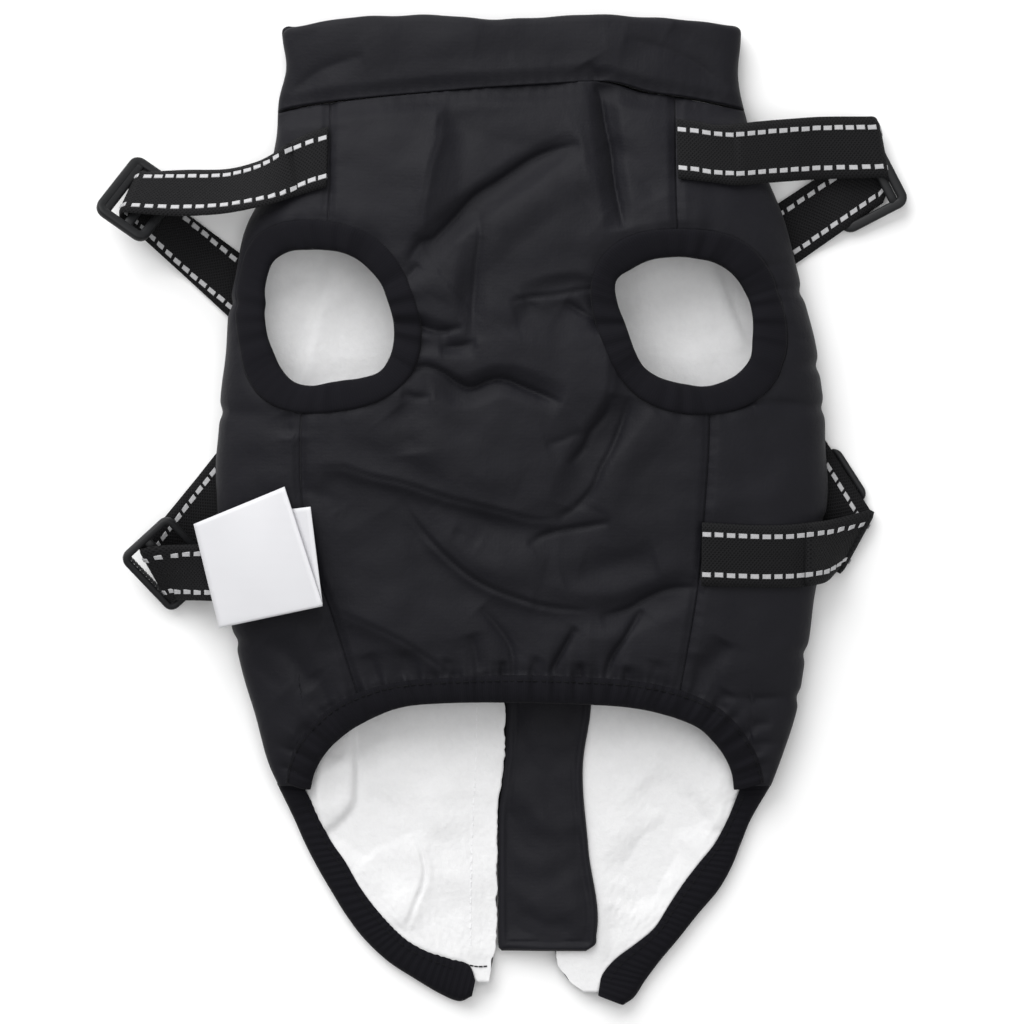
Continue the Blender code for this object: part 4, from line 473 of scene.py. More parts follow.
def run_along(path):
    """Length run along a polyline at each of its points."""
    return np.concatenate([[0.0], np.cumsum(np.linalg.norm(np.diff(path, axis=0), axis=1))])


def sampled(values, run, at):
    """Rows of values at places along their run, straight between the rows."""
    return np.column_stack([np.interp(at, run, values[:, k]) for k in range(values.shape[1])])


def curve_through(points, count):
    """Points evenly spaced along a Catmull-Rom curve through the given ones."""
    p = np.asarray(points, float)
    p = np.vstack([2 * p[0] - p[1], p, 2 * p[-1] - p[-2]])
    t = np.linspace(0.0, 1.0, 16, endpoint=False)[:, None, None]
    a, b, c, d = p[:-3], p[1:-2], p[2:-1], p[3:]
    path = 0.5 * (2 * b + (c - a) * t + (2 * a - 5 * b + 4 * c - d) * t**2
                  + (3 * b - a - 3 * c + d) * t**3)
    path = np.vstack([path.transpose(1, 0, 2).reshape(-1, p.shape[1]), p[-2:-1]])
    run = run_along(path)
    return sampled(path, run, np.linspace(0.0, run[-1], count))


def distance_to(points, path):
    """Distance of each point to a polyline, place along it from 0 to 1, and +1 on its left side."""
    best = np.full(len(points), 1e9)
    along = np.zeros(len(points))
    side = np.ones(len(points))
    last = len(path) - 1
    for k, (a, b) in enumerate(zip(path[:-1], path[1:])):
        run = b - a
        t = np.clip(((points - a) @ run) / max(run @ run, 1e-12), 0.0, 1.0)
        off = points - a - t[:, None] * run
        d = np.linalg.norm(off, axis=1)
        nearer = d < best
        best[nearer] = d[nearer]
        along[nearer] = (k + t[nearer]) / last
        cross = run[0] * (points[:, 1] - a[1]) - run[1] * (points[:, 0] - a[0])
        side[nearer] = np.where(cross[nearer] >= 0, 1.0, -1.0)
    return best, along, side


def inside(points, outline):
    """Which points lie inside a closed outline, by counting crossings."""
    x, y = points[:, 0], points[:, 1]
    within = np.zeros(len(points), bool)
    for (x0, y0), (x1, y1) in zip(outline, np.roll(outline, -1, axis=0)):
        if y0 != y1:
            crosses = (y0 > y) != (y1 > y)
            within ^= crosses & (x < x0 + (y - y0) * (x1 - x0) / (y1 - y0))
    return within


def smoothstep(t):
    """3 t^2 - 2 t^3 between 0 and 1."""
    t = np.clip(t, 0.0, 1.0)
    return t * t * (3 - 2 * t)


def swell(away, reach):
    """(1 - (d / reach)^2)^2 within the reach, 0 beyond it."""
    return np.clip(1 - (away / reach) ** 2, 0.0, 1.0) ** 2


def uneven_wave(along, count, sway, beats):
    """Waves at an uneven pitch: sin 2 pi (count t + sway sin 2 pi beats t)."""
    return np.sin(2 * math.pi * (count * along + sway * np.sin(2 * math.pi * beats * along)))


def hem_gather(along):
    """Gathers along the belly hem, shared by the cloth, its binding and the stitches."""
    return uneven_wave(along, 25, 0.35, 3.3)


def leg_tuck(along):
    """Tucks round a leg hole, shared by the cloth and its band."""
    return uneven_wave(along, 19, 0.4, 4)


def unit(v):
    """Vectors divided by their length."""
    return v / np.linalg.norm(v, axis=-1, keepdims=True)


# ------------------------------------------------------------------ the two forms
def half_width(y):
    """Half of the laid coat's width at y."""
    return 0.5 * (smooth_table(SECTIONS, 2, y) - smooth_table(SECTIONS, 1, y))


def middle(y):
    """x halfway between the laid coat's side edges at y."""
    return 0.5 * (smooth_table(SECTIONS, 2, y) + smooth_table(SECTIONS, 1, y))


def dome_profile():
    """Superellipse from (-1, 0) over (0, 1) to (1, 0), at places evenly spaced along its length."""
    angle = np.linspace(0.0, math.pi, 721)
    x = -np.sign(np.cos(angle)) * np.abs(np.cos(angle)) ** (2 / DOME)
    z = np.sin(angle) ** (2 / DOME)
    run = np.concatenate([[0.0], np.cumsum(np.hypot(np.diff(x), 0.25 * np.diff(z)))])
    return 2 * run / run[-1] - 1, x, z, 0.5 * run[-1]


PROFILE_AT, PROFILE_X, PROFILE_Z, PROFILE_HALF = dome_profile()
NOTCHES = {
    # quilting lines that pinch the side edges, y
    -1: (66.8, 31.9, -4.0, -42.0),
    1: (70.6, 46.8, 33.2, -3.0, -46.0, -60.0),
}


def lay_out(xy):
    """Plan points of the belly side laid out flat: distance along the cross-section, and y."""
    xy = np.asarray(xy, float)
    across = np.clip((xy[:, 0] - middle(xy[:, 1])) / half_width(xy[:, 1]), -1.0, 1.0)
    at = np.interp(across, PROFILE_X, PROFILE_AT)
    return np.column_stack([at * PROFILE_HALF * half_width(xy[:, 1]), xy[:, 1]])


def edge_bulge(y, side):
    """How far the padded side edge swells out: slow waves, with a 1 mm notch at each quilting line."""
    out = 0.35 * np.sin(y / 5.3 + side) * np.sin(y / 13.1)
    for at in NOTCHES[side]:
        out = out - np.exp(-((y - at) / 2.2) ** 2) + 0.25 * np.exp(-((y - at) / 8.0) ** 2)
    return out


def crease_relief(xy, creases):
    """Height of creases: largest at the line, dying away as exp(-d / reach) on either side of it.

    d is the distance to the line with its cusp rounded by the softness, and a negative height is a puffy
    valley. A hollow adds hollow (d / reach) exp(1 - d / reach) beside the line, and the bite is the share
    of the height that is lost within a millimetre of it: on the left where positive, else on the right.
    """
    height = np.zeros(len(xy))
    for _name, points, rise, left, left_hollow, right, right_hollow, bite, softness, groove in creases:
        path = curve_through(points, 4 * len(points) + 3)
        reach = 5.0 * max(left, right)
        low, high = path.min(axis=0) - reach, path.max(axis=0) + reach
        near = ((xy > low) & (xy < high)).all(axis=1)
        if not near.any():
            continue
        away, along, side = distance_to(xy[near], path)
        d = np.sqrt(away**2 + softness**2) - softness
        far = d / np.where(side > 0, left, right)
        share = np.where(side * bite > 0, abs(bite), 0.0)
        bump = rise * ((1 - share) * np.exp(-far) + share * np.exp(-d))
        bump += np.where(side > 0, left_hollow, right_hollow) * far * np.exp(1 - far)
        bump -= groove * np.exp(-(away / GROOVE_WIDTH) ** 2)
        height[near] += bump * np.clip(5 * along * (1 - along), 0.0, 1.0) ** 0.6
    return height


def roll_relief(xy):
    """The broad rolls: (1 - (d / reach)^2)^2 across, a half ellipse along."""
    height = np.zeros(len(xy))
    for points, rise, reach in ROLLS:
        away, along, _side = distance_to(xy, curve_through(points, 13))
        height += rise * swell(away, reach) * np.clip(4 * along * (1 - along), 0.0, 1.0) ** 0.5
    return ROLL_SHARE * height


def soft_noise(xy, seed, longest, shortest, height):
    """Sum of plane waves in all directions, wavelengths from longest to shortest, height in mm rms."""
    rng = np.random.default_rng(seed)
    length = np.geomspace(longest, shortest, WAVES)
    angle = rng.uniform(0, 2 * math.pi, WAVES)
    phase = rng.uniform(0, 2 * math.pi, WAVES)
    k = 2 * math.pi / length
    waves = np.sin(xy[:, :1] * (k * np.cos(angle)) + xy[:, 1:2] * (k * np.sin(angle)) + phase)
    weight = length ** 0.9
    return height * (waves @ weight) / math.sqrt(0.5 * np.sum(weight**2))


HEM_SEAM = curve_through(BELLY_HEM, 90)[:, 2:]


def leg_outline(side, count, grow=0.0):
    """Closed outline of a leg hole, grown outwards: polar radius smoothed by a periodic table."""
    x, y, radii = LEG_HOLES[side]
    angle = np.linspace(0.0, 2 * math.pi, count, endpoint=False)
    knots = np.radians(np.arange(-30, 405, 15.0))
    wrapped = np.concatenate([radii[-2:], radii, radii[:3]])
    radius = smooth_table(np.column_stack([knots, wrapped]), 1, angle)
    if grow:    # only the slowest waves of the radius go into the band's outer edge
        spread = np.fft.rfft(radius)
        spread[5:] = 0
        radius = np.fft.irfft(spread, count) + grow
    flat = lay_out(np.array([(x, y)]))[0]
    stretch = lay_out(np.array([(x + 1.0, y), (x - 1.0, y)]))
    wide = 0.5 * abs(stretch[0, 0] - stretch[1, 0])
    return np.column_stack([flat[0] + wide * radius * np.cos(angle), y + radius * np.sin(angle)])


def profile_at(s, y):
    """Place of a pattern point on the dome's profile, from -1 at the left edge to 1 at the right."""
    return np.clip(s / (PROFILE_HALF * half_width(y)), -1.0, 1.0)


def edge_fade(s, y):
    """1 over most of the dome, down to 0 with the profile's height at the side edges."""
    return np.clip(FADE_SLOPE * np.interp(profile_at(s, y), PROFILE_AT, PROFILE_Z), 0.0, 1.0)


def plan_x(s, y):
    """x of a point of the belly pattern: the middle, and half the width times the profile's x."""
    return middle(y) + half_width(y) * np.interp(profile_at(s, y), PROFILE_AT, PROFILE_X)


LEG_RINGS = {side: leg_outline(side, RING_POINTS, BAND) for side in LEG_HOLES}


def belly_relief(pattern):
    """All that stands off the dome: rolls, creases, seam dips, puckers, gathers and soft waves.

    Puckers and gathers are sines along their seam that die away as exp(-d / reach) or exp(-(d / reach)^2).
    """
    s, y = pattern.T
    xy = np.column_stack([plan_x(s, y), y])
    height = roll_relief(xy) + crease_relief(xy, CREASES)
    for seam, depth, reach in SEAM_DIPS:
        away, along, _side = distance_to(xy, curve_through(seam, 60))
        height -= depth * swell(away, reach)
        pucker = np.sin(2 * math.pi * along * 46 + 2.0 * np.sin(along * 31))
        height += PUCKER[0] * pucker * np.exp(-(away / PUCKER[1]) ** 2)
    away, along, _side = distance_to(xy, HEM_SEAM)
    finer = np.sin(2 * math.pi * 61 * along + 3 * np.sin(17 * along))
    height += (GATHER[0] * hem_gather(along) * np.exp(-away / GATHER[1])
               + FINE_GATHER[0] * finer * np.exp(-away / FINE_GATHER[1]))
    height -= HEM_DIP[0] * np.exp(-(away / HEM_DIP[1]) ** 2)
    for side, ring in LEG_RINGS.items():
        away, along, _side = distance_to(pattern, np.vstack([ring, ring[:1]]))
        height += (LEG_TUCK[0] * leg_tuck(along) * np.exp(-away / LEG_TUCK[1])
                   - LEG_DIP[0] * np.exp(-(away / LEG_DIP[1]) ** 2))
        height -= SUNK_UNDER_BAND * inside(pattern, ring) * smoothstep(away / 1.4)
    height += soft_noise(xy, 3, 46.0, 9.0, 0.30)
    return height * edge_fade(s, y)


def across_rows(start, stop, count):
    """For each row, count even steps from start to stop, all in one line."""
    return (start[:, None] + (stop - start)[:, None] * np.linspace(0.0, 1.0, count)).ravel()


def on_belly(pattern, depth, relief):
    """Fold a pattern over the dome, depth below its outer face, with the relief added upwards."""
    s, y = pattern.T
    half = half_width(y)
    at = profile_at(s, y)
    x_unit, z_unit = np.interp(at, PROFILE_AT, PROFILE_X), np.interp(at, PROFILE_AT, PROFILE_Z)
    crown = smooth_table(SECTIONS, 3, y)
    bulge = np.where(x_unit < 0, -edge_bulge(y, -1), edge_bulge(y, 1)) * np.abs(x_unit) ** 9
    return np.column_stack([middle(y) + (half - depth) * x_unit + bulge, y,
                            SEAM_Z + 0.5 * SEAM_GAP + (crown - SEAM_Z - depth) * z_unit + relief])


def curl(y):
    """1 where the back curls up to the side seam, a smoothstep down to 0 along the tails."""
    return smoothstep((np.asarray(y, float) + 92.0) / 14.0)


def lay_out_back(xy):
    """Plan points of the back laid out flat: distance from the middle line, and y."""
    xy = np.asarray(xy, float)
    y = xy[:, 1]
    off = xy[:, 0] - middle(y)
    flat = half_width(y) - CURL
    beyond = np.clip((np.abs(off) - flat) / CURL, 0.0, 1.0)
    share = curl(y) * 2 / math.pi * np.arcsin(beyond) + (1 - curl(y)) * beyond
    length = CURL + (CURL_ARC - CURL) * curl(y)
    return np.column_stack([np.sign(off) * (np.minimum(np.abs(off), flat) + share * length), y])


def flat_slider_place():
    """Middle of the slider under the coat's side, and the ways along and across its webbing."""
    strap = STRAPS[FLAT_SLIDER]
    bend, end = np.array(strap["front"][-1][:2]), np.array(strap["end"][:2])
    run = unit(end - bend)
    across = np.array((run[1], -run[0]))
    return bend + SLIDER_ALONG * run - (0.5 * WEBBING + SLIDER_SLACK) * across, run, across


def over_slider(xy):
    """How far the back panel stands up over that slider: three soft steps multiplied."""
    at, run, across = flat_slider_place()
    along, beside = (xy - at) @ run, (xy - at) @ across
    return (RISE * smoothstep((along - RISE_FROM) / RISE_FADE + 1)
            * smoothstep((RISE_TO - along) / RISE_FADE + 1)
            * smoothstep((beside - RISE_BESIDE) / RISE_FADE + 1))


def on_back(pattern, rise):
    """Lay a pattern on the floor, rise above its under face, and curl it up along a quarter circle."""
    p, y = pattern.T
    flat = half_width(y) - CURL
    length = CURL + (CURL_ARC - CURL) * curl(y)
    share = np.clip((np.abs(p) - flat) / length, 0.0, 1.0)
    angle = 0.5 * math.pi * share
    reach = curl(y) * (CURL - np.minimum(rise, CURL - 1.0)) * np.sin(angle) + (1 - curl(y)) * CURL * share
    bulge = np.where(p < 0, -edge_bulge(y, -1), edge_bulge(y, 1)) * share**2 * curl(y)
    top = SEAM_Z - 0.5 * SEAM_GAP
    x = middle(y) + np.sign(p) * (np.minimum(np.abs(p), flat) + reach)
    rise = rise + over_slider(np.column_stack([x, y]))
    return np.column_stack([x + bulge, y, rise + curl(y) * (top - rise) * (1 - np.cos(angle))])


# ------------------------------------------------------------------ meshes
def grid_quads(rows, cols, wrap_rows=False, wrap_cols=False):
    """Quads of a rows x cols lattice, optionally joined end to end either way."""
    i = np.arange(rows if wrap_rows else rows - 1)[:, None]
    j = np.arange(cols if wrap_cols else cols - 1)[None, :]
    i2, j2 = (i + 1) % rows, (j + 1) % cols
    corners = [i * cols + j, i * cols + j2, i2 * cols + j2, i2 * cols + j]
    return np.stack(corners, axis=-1).reshape(-1, 4)


def with_rim(quads, count):
    """Two copies of a sheet's quads, the second turned over, with quads round every open edge.

    The kinds that come with them are 1 in the second copy and 0 elsewhere.
    """
    a = quads.reshape(-1)
    b = np.roll(quads, -1, axis=1).reshape(-1)
    open_edge = ~np.isin(a.astype(np.int64) * count + b, b.astype(np.int64) * count + a)
    a, b = a[open_edge], b[open_edge]
    rim = np.column_stack([b, a, a + count, b + count])
    kinds = np.repeat((0, 1, 0), (len(quads), len(quads), len(rim)))
    return np.vstack([quads, quads[:, ::-1] + count, rim]), kinds


def turned_ends(quads, ends):
    """Turn each end ring so that it runs against the edges of the quads it closes."""
    pairs = set()
    for k in range(4):
        pairs |= set(zip(quads[:, k].tolist(), quads[:, (k + 1) % 4].tolist()))
    return [ring[::-1] if (int(ring[0]), int(ring[1])) in pairs else ring for ring in ends]


def enclosed_volume(points, quads):
    """Six times the volume inside a closed surface, positive where its faces point outwards."""
    a, b, c, d = (points[quads[:, k]] for k in range(4))
    return np.sum(np.cross(a, b) * c) + np.sum(np.cross(a, c) * d)


def add_piece(name, points, quads, uv, finishes, kinds=None, ends=(), nodes=(), slot="shell"):
    """Put a closed surface of quads into a mesh in metres; ends are rings that cap a tube."""
    points = np.asarray(points, float)
    if enclosed_volume(points, quads) < 0:
        quads = quads[:, ::-1]
        ends = [ring[::-1] for ring in ends]
    used, index = np.unique(quads, return_inverse=True)
    if len(used) < len(points) and not len(ends):
        points, quads = points[used], index.reshape(quads.shape)
        uv = None if uv is None else np.asarray(uv)[used]
    loops = np.concatenate([quads.reshape(-1)] + [np.asarray(ring) for ring in ends]).astype(np.int32)
    sizes = np.array([4] * len(quads) + [len(ring) for ring in ends], np.int32)
    mesh = bpy.data.meshes.new(name)
    mesh.vertices.add(len(points))
    mesh.vertices.foreach_set("co", (points * 0.001).astype(np.float32).ravel())
    mesh.loops.add(len(loops))
    mesh.loops.foreach_set("vertex_index", loops)
    mesh.polygons.add(len(sizes))
    mesh.polygons.foreach_set("loop_start", np.concatenate([[0], np.cumsum(sizes)[:-1]]).astype(np.int32))
    mesh.polygons.foreach_set("loop_total", sizes)
    mesh.polygons.foreach_set("use_smooth", np.ones(len(sizes), bool))
    for finish in finishes:
        mesh.materials.append(finish)
    if kinds is not None:
        kinds = np.concatenate([kinds, np.zeros(len(ends), int)]).astype(np.int32)
        mesh.polygons.foreach_set("material_index", kinds)
    if uv is not None:
        layer = mesh.uv_layers.new(name="cloth")
        layer.data.foreach_set("uv", np.asarray(uv, np.float32)[loops].ravel())
    mesh.update()
    mesh.validate()
    piece = bpy.data.objects.new(name, mesh)
    bpy.context.scene.collection.objects.link(piece)
    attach(piece, "coat")
    if nodes:
        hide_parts(*nodes)
    return piece


def cloth_area(piece):
    """Area of the cloth in square metres: half of its closed surface."""
    areas = np.empty(len(piece.data.polygons))
    piece.data.polygons.foreach_get("area", areas)
    return 0.5 * float(areas.sum())


def declare_panel(piece, width, length, rests_on):
    """Area of a piece's cloth, and the width x length in millimetres grown to hold it; neither is kept."""
    area = cloth_area(piece)
    width, length = 0.001 * width, 0.001 * length
    grow = math.sqrt(max(1.0, area / (width * length)))
    width, length = width * grow, length * grow


def declare_strip(piece, width):
    """Length of a laid strip of cloth of that width, in millimetres, worked out and not kept."""
    width = 0.001 * width
    cloth_area(piece) / width


def rib_tube(name, lines, closed, node):
    """A profile of rib carried along a path: line j follows its point j, and open ends are capped."""
    rings = np.array(lines).transpose(1, 0, 2)
    rows, cols = rings.shape[:2]
    quads = grid_quads(rows, cols, wrap_rows=closed, wrap_cols=True)
    runs = run_along(rings.mean(axis=1)), run_along(rings.mean(axis=0))
    uv = np.stack(np.meshgrid(*runs, indexing="ij"), axis=-1).reshape(-1, 2)
    ends = [] if closed else [np.arange(cols)[::-1], np.arange(cols) + (rows - 1) * cols]
    return add_piece(name, rings.reshape(-1, 3), quads, uv, [RIB_CLOTH], ends=turned_ends(quads, ends),
                     nodes=[node], slot="rib")


# ------------------------------------------------------------------ materials
class Finish:
    """A Principled material in the making: patterns are sockets, and go into its colour and relief."""

    def __init__(self, name, roughness, sheen=0.0, gloss=0.5):
        """A new material with these values and no patterns yet."""
        self.material = bpy.data.materials.new(name)
        self.material.use_nodes = True
        self.nodes, self.links = self.material.node_tree.nodes, self.material.node_tree.links
        self.shader = self.nodes["Principled BSDF"]
        self.normal = None
        for socket, value in (("Roughness", roughness), ("Specular IOR Level", gloss),
                              ("Sheen Weight", sheen), ("Sheen Roughness", 0.5)):
            self.shader.inputs[socket].default_value = value

    def node(self, kind, **values):
        """A new node with some of its inputs set, named with _ for a space."""
        node = self.nodes.new("ShaderNode" + kind)
        for socket, value in values.items():
            node.inputs[socket.replace("_", " ")].default_value = value
        return node

    def place(self, source, turn=0.0):
        """The piece's own map or Object coordinates, turned."""
        mapping = self.node("Mapping", Rotation=(0.0, 0.0, turn))
        self.links.new(self.node("TexCoord").outputs[source], mapping.inputs["Vector"])
        return mapping.outputs["Vector"]

    def noise(self, vector, scale, detail=4.0, roughness=0.55):
        """Fractal noise, scale in cells to the unit of the coordinates."""
        texture = self.node("TexNoise", Scale=scale, Detail=detail, Roughness=roughness)
        self.links.new(vector, texture.inputs["Vector"])
        return texture.outputs["Fac"]

    def wave(self, vector, direction, scale, distortion=0.0):
        """Sine bands across a direction."""
        texture = self.node("TexWave", Scale=scale, Distortion=distortion, Detail_Scale=1.0)
        texture.wave_type, texture.bands_direction, texture.wave_profile = "BANDS", direction, "SIN"
        self.links.new(vector, texture.inputs["Vector"])
        return texture.outputs["Fac"]

    def mixed(self, kind, a, b):
        """Two patterns put together by a sum of that kind."""
        math_node = self.node("Math")
        math_node.operation = kind
        self.links.new(a, math_node.inputs[0])
        self.links.new(b, math_node.inputs[1])
        return math_node.outputs["Value"]

    def colour(self, factor, dark, light):
        """Base colour that runs from dark to light with a pattern."""
        ramp = self.node("ValToRGB")
        for element, shade in zip(ramp.color_ramp.elements, (dark, light)):
            element.color = (*shade, 1.0)
        self.links.new(factor, ramp.inputs["Fac"])
        self.links.new(ramp.outputs["Color"], self.shader.inputs["Base Color"])

    def relief(self, height, strength, distance):
        """A bump over the ones before it, distance in metres."""
        bump = self.node("Bump", Strength=strength, Distance=distance)
        self.links.new(height, bump.inputs["Height"])
        if self.normal is not None:
            self.links.new(self.normal, bump.inputs["Normal"])
        self.normal = bump.outputs["Normal"]
        self.links.new(self.normal, self.shader.inputs["Normal"])


def make_shell_cloth():
    """Plain-woven black polyester: fine crossed threads, small crinkles, a soft sheen."""
    finish = Finish("shell_cloth", 0.62, sheen=0.03, gloss=0.16)
    cloth, solid = finish.place("UV"), finish.place("Object")
    threads = finish.mixed("MULTIPLY", finish.wave(cloth, "X", 0.72), finish.wave(cloth, "Y", 0.72))
    finish.colour(finish.noise(solid, 28.0, 3.0), (0.0052, 0.0051, 0.0074), (0.0076, 0.0074, 0.0106))
    finish.relief(finish.noise(solid, 150.0, 5.0, 0.6), 0.35, 0.0011)
    finish.relief(threads, 0.25, 0.00012)
    return finish.material


def make_rib_cloth():
    """Black elastic rib: ridges across the band, a loose knit between them."""
    finish = Finish("rib_cloth", 0.9, sheen=0.02, gloss=0.10)
    ribs = finish.wave(finish.place("UV"), "X", 0.42, 1.2)
    finish.colour(ribs, (0.0052, 0.0050, 0.0070), (0.0064, 0.0062, 0.0084))
    finish.relief(ribs, 0.09, 0.0003)
    finish.relief(finish.noise(finish.place("Object"), 900.0, 3.0), 0.4, 0.0002)
    return finish.material


def make_fleece():
    """Napped white fleece: clumped pile over soft waves."""
    finish = Finish("white_fleece", 0.95, sheen=0.15, gloss=0.2)
    solid = finish.place("Object")
    clumps = finish.noise(solid, 330.0, 6.0, 0.7)
    finish.colour(clumps, (0.68, 0.68, 0.685), (0.79, 0.79, 0.795))
    finish.relief(finish.noise(solid, 60.0, 3.0), 0.18, 0.002)
    finish.relief(clumps, 0.35, 0.0008)
    return finish.material


def make_webbing_cloth():
    """Black woven webbing: close ribs across the strap in a herringbone."""
    finish = Finish("webbing_weave", 0.8, sheen=0.02, gloss=0.12)
    slants = [finish.wave(finish.place("UV", turn), "X", 0.34) for turn in (0.72, -0.72)]
    weave = finish.mixed("MAXIMUM", *slants)
    finish.colour(weave, (0.0030, 0.0030, 0.0034), (0.0100, 0.0100, 0.0108))
    finish.relief(weave, 0.6, 0.0004)
    finish.relief(finish.noise(finish.place("Object"), 1200.0, 3.0), 0.3, 0.0001)
    return finish.material


def make_reflective_yarn():
    """Grey retroreflective yarn of the dashes."""
    finish = Finish("reflective_yarn", 0.45, sheen=0.1)
    yarn = finish.noise(finish.place("Object"), 1500.0, 3.0)
    finish.colour(yarn, (0.30, 0.30, 0.31), (0.50, 0.50, 0.51))
    finish.relief(yarn, 0.5, 0.0001)
    return finish.material


def make_moulded_plastic(name, dark, light, roughness):
    """Moulded plastic: uneven tone and a fine grain."""
    finish = Finish(name, roughness, gloss=0.22)
    solid = finish.place("Object")
    finish.colour(finish.noise(solid, 90.0, 3.0), dark, light)
    finish.relief(finish.noise(solid, 1400.0, 2.0), 0.12, 0.0001)
    return finish.material


def make_tape_cloth():
    """Black woven zip tape with a narrow twill."""
    finish = Finish("zip_tape_twill", 0.85, sheen=0.02, gloss=0.12)
    twill = finish.wave(finish.place("Object", 0.8), "X", 420.0)
    finish.colour(twill, (0.005, 0.005, 0.006), (0.013, 0.013, 0.015))
    finish.relief(twill, 0.4, 0.0002)
    return finish.material


def make_thread(name, dark, light):
    """Sewing thread with a twist."""
    finish = Finish(name, 0.8, gloss=0.12)
    twist = finish.noise(finish.place("Object"), 2500.0, 2.0)
    finish.colour(twist, dark, light)
    finish.relief(twist, 0.3, 0.0001)
    return finish.material


def make_label_satin():
    """White woven satin, left blank."""
    finish = Finish("label_satin", 0.5, sheen=0.1)
    cloth = finish.place("Object")
    finish.colour(finish.noise(cloth, 45.0, 2.0), (0.58, 0.58, 0.60), (0.62, 0.62, 0.64))
    finish.relief(finish.wave(cloth, "Y", 900.0), 0.15, 0.0001)
    return finish.material


def make_floor_finish():
    """Plain white studio floor."""
    finish = Finish("studio_floor", 0.9)
    finish.colour(finish.noise(finish.place("Object"), 4.0, 2.0), (0.93, 0.93, 0.93), (0.95, 0.95, 0.95))
    return finish.material


SHELL_CLOTH, RIB_CLOTH, FLEECE_CLOTH = make_shell_cloth(), make_rib_cloth(), make_fleece()
WEBBING_CLOTH, REFLECTIVE = make_webbing_cloth(), make_reflective_yarn()
PLASTIC = make_moulded_plastic("slider_plastic", (0.008, 0.0083, 0.0090), (0.014, 0.0145, 0.0158), 0.5)
ZIP_PLASTIC = make_moulded_plastic("zip_plastic", (0.010, 0.010, 0.011), (0.018, 0.018, 0.020), 0.35)
TAPE_CLOTH, LABEL_SATIN = make_tape_cloth(), make_label_satin()
BLACK_THREAD = make_thread("black_thread", (0.0040, 0.0040, 0.0048), (0.0080, 0.0080, 0.0090))
WHITE_THREAD = make_thread("white_thread", (0.70, 0.70, 0.71), (0.85, 0.85, 0.86))


# ------------------------------------------------------------------ belly side
def seam_x(seam, y):
    """x of a lengthwise seam at y."""
    path = curve_through(seam, 120)
    return np.interp(-y, -path[:, 1], path[:, 0])


def seam_y(seam, x):
    """y of a crosswise seam at x."""
    path = curve_through(seam, 160)
    return np.interp(x, path[:, 0], path[:, 1])


HEM_MIDDLE = 0.5 * (np.array(BELLY_HEM)[:, :2] + np.array(BELLY_HEM)[:, 2:])
# rows of a panel, rounds that settle it, and the share of a leg band that has no cloth under it
PANEL_ROWS, SETTLING_ROUNDS, COVERED = 250, 8, 0.55


def belly_panel(name, left, right, cols, node):
    """Panel between two lengthwise lines, from the middle of the hem binding to the collar seam.

    P(u, v): s runs evenly from the left line to the right one, y from the hem to the collar seam, and
    the two are settled together in a few rounds. Cells under the leg bands are left out.
    """
    u, v = np.meshgrid(np.linspace(0.0, 1.0, cols), np.linspace(0.0, 1.0, PANEL_ROWS))
    u, v = u.ravel(), v.ravel()
    y = -60.0 + 190.0 * v
    for _round in range(SETTLING_ROUNDS):
        s = left(y) + (right(y) - left(y)) * u
        x = plan_x(s, y)
        top = seam_y(COLLAR_SEAM, x) + 0.08
        y = seam_y(HEM_MIDDLE, x) + (top - seam_y(HEM_MIDDLE, x)) * v
    pattern = np.column_stack([s, y])
    relief = belly_relief(pattern)
    quads = grid_quads(PANEL_ROWS, cols)
    for side in LEG_HOLES:
        quads = quads[~inside(pattern[quads].mean(axis=1), leg_outline(side, RING_POINTS, COVERED * BAND))]
    points = np.vstack([on_belly(pattern, 0.0, relief), on_belly(pattern, SHELL - 0.4, relief)])
    quads, kinds = with_rim(quads, len(pattern))
    piece = add_piece(name, points, quads, np.vstack([pattern, pattern]), [SHELL_CLOTH, FLEECE_CLOTH], kinds,
                      nodes=[node])
    declare_panel(piece, np.ptp(s), np.ptp(y), ["back_left", "back_right"])


def side_edge(sign):
    """Pattern distance of a side edge, as a function of y."""
    return lambda y: sign * PROFILE_HALF * half_width(y)


def beside_seam(seam, shift):
    """Pattern distance of a lengthwise seam, moved to the right, as a function of y."""
    return lambda y: lay_out(np.column_stack([seam_x(seam, y), y]))[:, 0] + shift


def make_belly_side():
    """Chest panel between the two side panels, all sharing their seams' lines."""
    left, right, gap = CHEST_SEAM_LEFT, CHEST_SEAM_RIGHT, 0.1
    belly_panel("chest_cloth", beside_seam(left, gap), beside_seam(right, -gap), 165, "chest_panel")
    belly_panel("side_cloth_left", side_edge(-1), beside_seam(left, -gap), 52, "side_left")
    belly_panel("side_cloth_right", beside_seam(right, gap), side_edge(1), 56, "side_right")


def rolled_over(low, high, rows_up, rows_over):
    """Distances up a doubled sheet, and how deep it lies: up from low, a half turn at high, back down."""
    radius = 0.5 * COLLAR_WALL
    up = np.linspace(0.0, 1.0, rows_up)[:, None]
    turn = np.linspace(0.0, math.pi, rows_over)[1:-1, None]
    y = np.vstack([low + (high - radius - low) * up, high - radius + radius * np.sin(turn),
                   low + (high - radius - low) * up[::-1]])
    return y, np.vstack([0 * up, radius * (1 - np.cos(turn)), COLLAR_WALL + 0 * up])


def side_caps(rows, cols):
    """Rings that close the two side ends of a rolled sheet."""
    return [np.arange(rows) * cols, np.arange(rows)[::-1] * cols + cols - 1]


